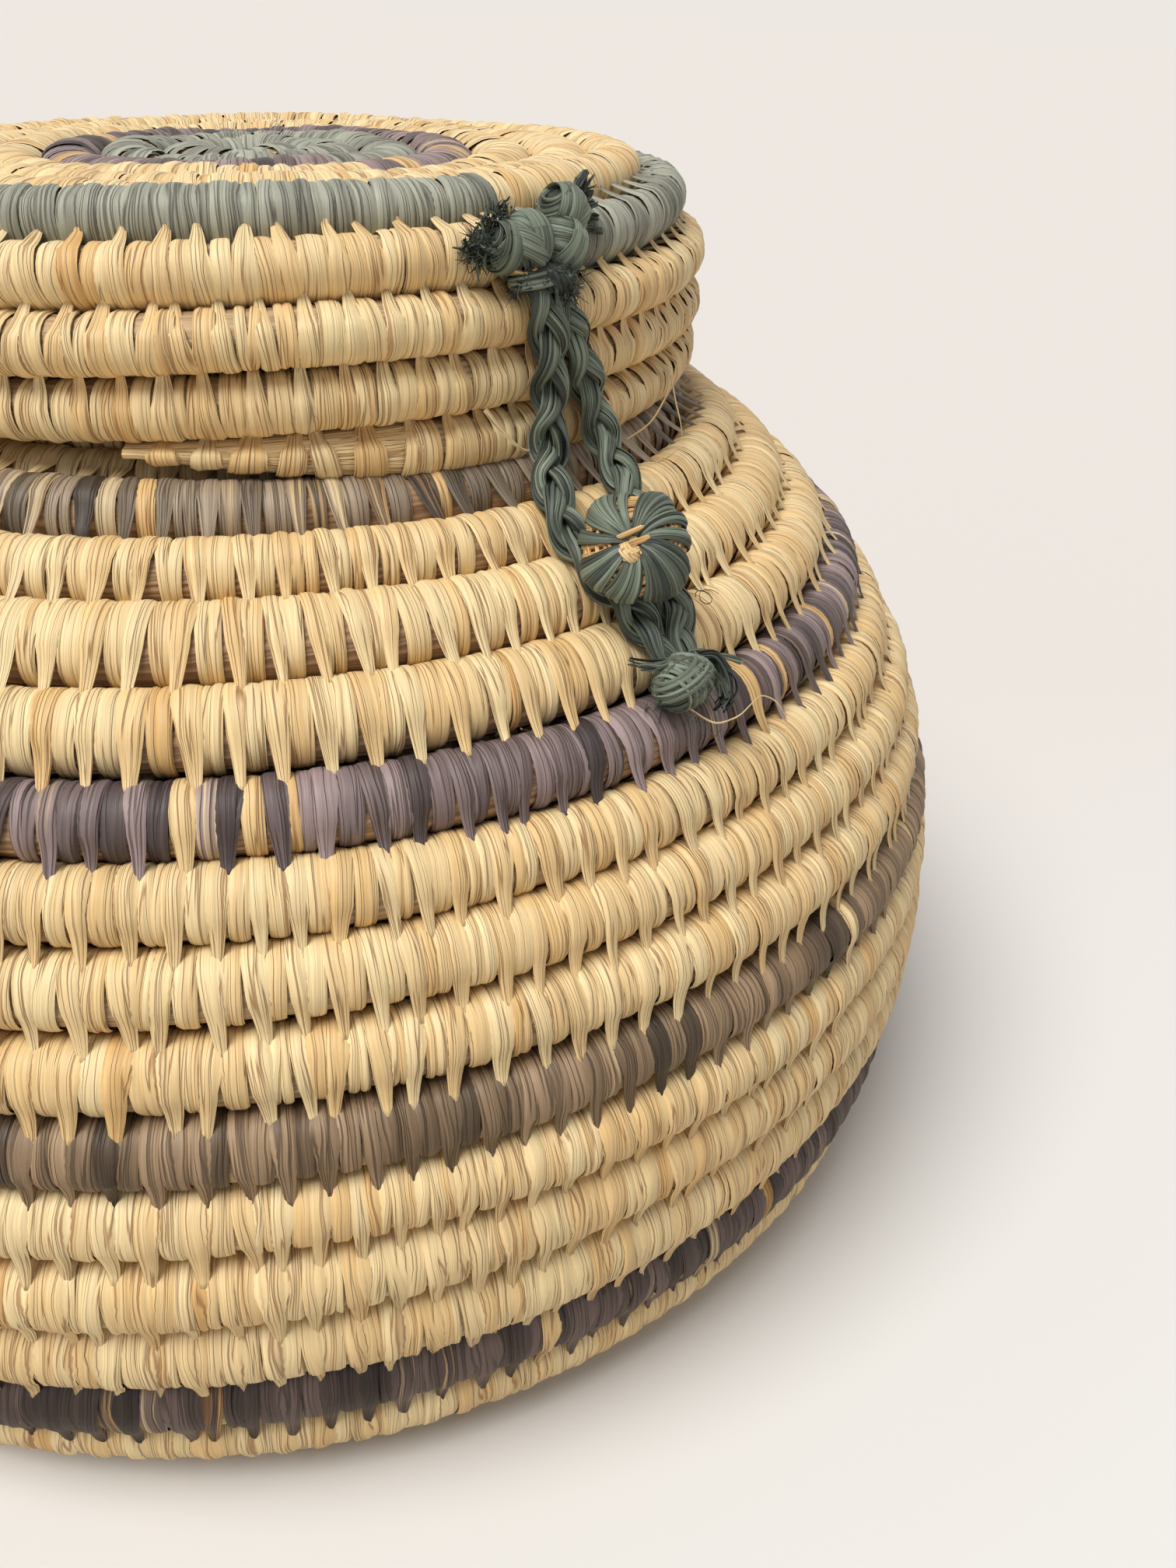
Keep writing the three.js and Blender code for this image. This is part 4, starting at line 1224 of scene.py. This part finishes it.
def button_core(weave, middle, frame, rng):
    """The straw coil that the button is wound over."""
    half = np.array([BUTTON_RADIUS - 1.7, BUTTON_RADIUS - 1.7, BUTTON_DEPTH / 2 - 1.4])
    ball(weave, middle, half - 0.3, 1, np.array([[0.2, 1.0, 0.3, 0.0]]), frame)
    wound(weave, middle, half, (((0, 0, 1), 0.0, 0.95, 15, 0.1, 0),
                                ((0.1, 0.9, 0.2), 0.0, 0.8, 6, 0.3, 0)), rng, 0.46, 0.3, frame,
          0.2, 1.0)


def button_folds(weave, middle, frame, rng):
    """Green strips that go over the button in folds, from its middle to its back."""
    t = np.linspace(0.03, 0.84, 19) * math.pi
    for start, end, lift in FOLDS:
        count = max(3, round((end - start) / FOLD_STRIP))
        tone = rng.uniform(0.1, 0.5)
        twist = rng.uniform(0.1, 0.4)
        for k in range(count):
            place = (k + 0.5) / count * 2 - 1
            angle = math.radians(start + (end - start) * (place + 1) / 2)
            angle = angle + twist * (1 - t / 1.4) * (t < 1.4) + rng.normal(0, 0.012)
            swell = lift * (1 - place ** 2) * np.sin(t) ** 1.5 + rng.normal(0, 0.05)
            radius = (BUTTON_RADIUS - 0.9 + swell) * np.sin(t)
            height = ((BUTTON_DEPTH / 2 - 0.5 + 0.8 * swell) * np.cos(t)
                      - 1.5 * np.exp(-(radius / 2.0) ** 2) * (t < 1.5))
            outward = np.stack([np.cos(angle), np.sin(angle), 0 * t], -1)
            beside = np.stack([-np.sin(angle), np.cos(angle), 0 * t], -1)
            beside = unit(beside - outward * (place * lift * 0.5 * np.sin(t))[:, None])
            local = outward * radius[:, None]
            local[:, 2] = height
            width = np.clip(radius * math.radians((end - start) / count) * 0.66, 0.3, 0.62)
            marks = np.array([[tone + rng.uniform(-0.15, 0.5), 1.0, rng.random(), 0.0]])
            weave.tubes((local @ frame.T + middle)[None], (beside @ frame.T)[None], width[None],
                        0.15, marks, around=8, material=1 if rng.random() < 0.2 else 0)


def button_middle(weave, middle, frame, rng):
    """The small straw knot in the middle of the button's face, with cut ends."""
    at = middle + frame @ np.array(BUTTON_MIDDLE)
    wound(weave, at, (1.1, 1.1, 0.8), (((0.2, 0.9, 0.3), 0.0, 0.7, 5, 0.1, 0),
                                       ((1, 0.2, 0.4), 0.0, 0.6, 4, 0.3, 0)), rng, 0.24, 0.18,
          frame, 0.0, 0.6)
    fringe(weave, at, 0.7, frame[:, 2], 0.9, 12, 1.2, rng, 0.14, 0, low=0.0, high=0.6)


class BASKET_OT_wind_button(bpy.types.Operator):
    """Winds the button over its straw coil and sets it on its shank"""
    bl_idname = "basket.wind_button"
    bl_label = "Wind the button"

    def execute(self, context):
        rng = np.random.default_rng(17)
        middle, outward = on_wall(BUTTON_TURN, BUTTON_SIDE, BUTTON_RISE)
        axis = unit(outward + np.array(BUTTON_LEANS))
        right = square_to(axis, np.array([1.0, 0, 0]))
        frame = np.stack([right, np.cross(axis, right), axis], -1)
        for wind_part, name, slot, materials, node in (
                (button_core, "button_core_coiled", "straw_core", straw_materials(),
                 "button_core"),
                (button_folds, "button_folds", "raffia_green", green_materials(), "button_wrap"),
                (button_middle, "button_middle_tied", "raffia_natural", straw_materials(),
                 "button_middle_knot")):
            weave = Weave()
            wind_part(weave, middle, frame, rng)
            weave.piece(name, "basket", slot, materials, (node,))

        weave = Weave()
        foot, _ = on_wall(BUTTON_TURN, SHANK_SIDE, WALL_THICK / 2 + 0.2)
        head = middle - outward * (BUTTON_DEPTH / 2 - 1.3)
        bundle(weave, (foot, (foot + head) / 2 + (0.2, 0, 0), head), 14, rng, 0.5, 0.4, 0.75, 1,
               0.1, 0.8)
        weave.piece("button_shank_twisted", "basket", "raffia_green_dark", green_materials(),
                    ("button_shank",))
        return {"FINISHED"}


class BASKET_OT_loose_fibres(bpy.types.Operator):
    """Leaves the loose fibres that stand out of the coil"""
    bl_idname = "basket.loose_fibres"
    bl_label = "Leave loose fibres"

    def execute(self, context):
        rng = np.random.default_rng(31)
        weave = Weave()
        hair(weave, ((36.5, -71, 151), (34.4, -72.4, 148.6), (30.9, -74.3, 147), (24.6, -77.6, 145),
                     (17.3, -79.9, 144)), 0.26, 0, rng)
        hair(weave, ((34, -72.4, 150), (33.2, -74.6, 146.4), (32, -77.2, 143.6),
                     (29.2, -80.2, 142.2), (24.6, -82.9, 141.4), (18.8, -84.6, 141.3),
                     (14.6, -84.5, 141.9)), 0.15, 0, rng)
        hair(weave, ((-9.6, -79.2, 152.2), (-7.6, -79.8, 149.6), (-4.9, -81, 146.6),
                     (-3.2, -81.2, 145.9)), 0.42, 0, rng, flat=0.3)
        weave.piece("lid_loose_fibres", "lid", "raffia_natural", straw_materials())

        weave = Weave()
        hair(weave, ((8.6, -104.4, 128.6), (9.6, -103.6, 129), (11.2, -103.7, 128.6),
                     (11.9, -104.6, 127.8), (10.8, -105.2, 127.3), (9.4, -104.8, 127.9),
                     (10, -103.9, 128.9), (12.4, -103.8, 128.6), (13.6, -104.4, 127.9)), 0.1, 2,
             rng)
        weave.piece("basket_loose_fibres", "basket", "raffia_natural", straw_materials())
        return {"FINISHED"}


# The stage

# The photo's camera: where it stands, and its turns about x, y and z in degrees
CAMERA_AT = (-127.436, -225.242, 200.656)
CAMERA_TURNED = (60.2675, -2.542, -42.5496)
FOCAL_PIXELS = 1750
FRAME_HEIGHT = 2016
SENSOR = 36.0

# A broad window to the left of the camera, and the fill of a pale room
WINDOW_WAY = (-0.52, -0.06, 1.0)
WINDOW_ANGLE = 36
WINDOW_STRENGTH = 2.85
WINDOW_LIGHT = 0xFFFBF5
FILL_STRENGTH = 0.38
FILL_LIGHT = 0xF8F9FB
BACKDROP = 0xEDE8E2

# The floor as the camera sees it, near and far, painted darker far off as a falloff of light, and as
# it lights the basket
FLOOR_HALF = 30.0                   # metres
FLOOR_NEAR, FLOOR_FAR = 0xE5E5E4, 0xDFDBD8
FLOOR_PASSES = (-0.16, 0.2)         # from near to far, in metres ahead of the basket
FLOOR_LIGHTS = 0xC9C1B6


def add_camera(context):
    camera = bpy.data.cameras.new("photo_camera")
    camera.sensor_fit = "AUTO"
    camera.sensor_width = SENSOR
    camera.lens = FOCAL_PIXELS / FRAME_HEIGHT * SENSOR
    camera.clip_start = 0.01
    holder = bpy.data.objects.new("photo_camera", camera)
    holder.matrix_world = Matrix.LocRotScale(
        Vector(CAMERA_AT) * MM, Euler([math.radians(turn) for turn in CAMERA_TURNED]), None)
    context.collection.objects.link(holder)
    context.scene.camera = holder


# Matt paper, smooth and without gloss. It keeps the basket's soft shadow. The
# camera sees a pale tone painted darker far off, a painted falloff of light, and the basket gets a
# little less light from it.
def matt_paper():
    material, tree, shader = new_material("matt_paper_floor", 0.9, 1.45)
    shader.inputs["Specular IOR Level"].default_value = 0.1
    place = add_node(tree, "ShaderNodeSeparateXYZ", {
        0: add_node(tree, "ShaderNodeNewGeometry")["Position"]})
    ahead = add_node(tree, "ShaderNodeMath", {0: place[0], 1: place[1]})[0]
    ahead = add_node(tree, "ShaderNodeMath", {0: ahead, 1: math.sqrt(0.5)},
                     operation="MULTIPLY")[0]
    far = add_node(tree, "ShaderNodeMapRange", {
        "Value": ahead, "From Min": FLOOR_PASSES[0], "From Max": FLOOR_PASSES[1]})[0]
    seen = add_node(tree, "ShaderNodeMix", {
        0: far, 6: linear(FLOOR_NEAR), 7: linear(FLOOR_FAR)}, data_type="RGBA")[2]
    rays = add_node(tree, "ShaderNodeLightPath")
    colour = add_node(tree, "ShaderNodeMix", {
        0: rays["Is Camera Ray"], 6: linear(FLOOR_LIGHTS), 7: seen}, data_type="RGBA")[2]
    tree.links.new(colour, shader.inputs["Base Color"])
    return material


def add_floor(context):
    mesh = bpy.data.meshes.new("floor")
    half = FLOOR_HALF
    mesh.from_pydata([(-half, -half, 0), (half, -half, 0), (half, half, 0), (-half, half, 0)],
                     [], [(0, 1, 2, 3)])
    mesh.materials.append(matt_paper())
    floor = bpy.data.objects.new("floor", mesh)
    context.collection.objects.link(floor)


def light_room(context):
    scene = context.scene
    scene.world = scene.world or bpy.data.worlds.new("studio")
    scene.world.use_nodes = True
    tree = scene.world.node_tree
    tree.nodes.clear()
    rays = add_node(tree, "ShaderNodeLightPath")
    seen = rays["Is Camera Ray"]
    for kind in ("Is Glossy Ray", "Is Transmission Ray"):
        seen = add_node(tree, "ShaderNodeMath", {0: seen, 1: rays[kind]}, operation="MAXIMUM")[0]
    fill = add_node(tree, "ShaderNodeBackground", {
        "Color": linear(FILL_LIGHT), "Strength": FILL_STRENGTH})[0]
    back = add_node(tree, "ShaderNodeBackground", {
        "Color": linear(BACKDROP), "Strength": 1.0})[0]
    room = add_node(tree, "ShaderNodeMixShader", {0: seen, 1: fill, 2: back})[0]
    add_node(tree, "ShaderNodeOutputWorld", {"Surface": room})

    window = bpy.data.lights.new("window_light", "SUN")
    window.angle = math.radians(WINDOW_ANGLE)
    window.energy = WINDOW_STRENGTH
    window.color = linear(WINDOW_LIGHT)[:3]
    light = bpy.data.objects.new("window_light", window)
    light.rotation_euler = Vector(WINDOW_WAY).to_track_quat("Z", "Y").to_euler()
    context.collection.objects.link(light)


class BASKET_OT_stage(bpy.types.Operator):
    """Adds the floor, the soft light and the camera"""
    bl_idname = "basket.stage"
    bl_label = "Set the stage"

    def execute(self, context):
        context.scene.view_settings.view_transform = "Standard"
        add_camera(context)
        add_floor(context)
        light_room(context)
        return {"FINISHED"}


class BASKET_PT_panel(bpy.types.Panel):
    """Lists the sizes, the colours and the steps of the making"""
    bl_idname = "BASKET_PT_panel"
    bl_label = "Coiled basket"
    bl_space_type = "VIEW_3D"
    bl_region_type = "UI"
    bl_category = "Basket"

    def draw(self, context):
        scene = context.scene
        for group, kind in ((scene.basket_sizes, BasketSizes),
                            (scene.basket_colours, BasketColours)):
            for name in kind.__annotations__:
                self.layout.prop(group, name)
        for operator in OPERATORS:
            self.layout.operator(operator.bl_idname)


OPERATORS = (BASKET_OT_stage, BASKET_OT_plait_loop, BASKET_OT_wind_basket, BASKET_OT_wind_lid,
             BASKET_OT_tie_knots, BASKET_OT_wind_button, BASKET_OT_loose_fibres)
CLASSES = (BasketSizes, BasketColours) + OPERATORS + (BASKET_PT_panel,)


def register():
    for item in CLASSES:
        bpy.utils.register_class(item)
    bpy.types.Scene.basket_sizes = bpy.props.PointerProperty(type=BasketSizes)
    bpy.types.Scene.basket_colours = bpy.props.PointerProperty(type=BasketColours)


def unregister():
    del bpy.types.Scene.basket_colours
    del bpy.types.Scene.basket_sizes
    for item in reversed(CLASSES):
        bpy.utils.unregister_class(item)


def main():
    register()
    make_materials()
    for operator in OPERATORS:
        group, name = operator.bl_idname.split(".")
        getattr(getattr(bpy.ops, group), name)()


if __name__ == "__main__":
    main()
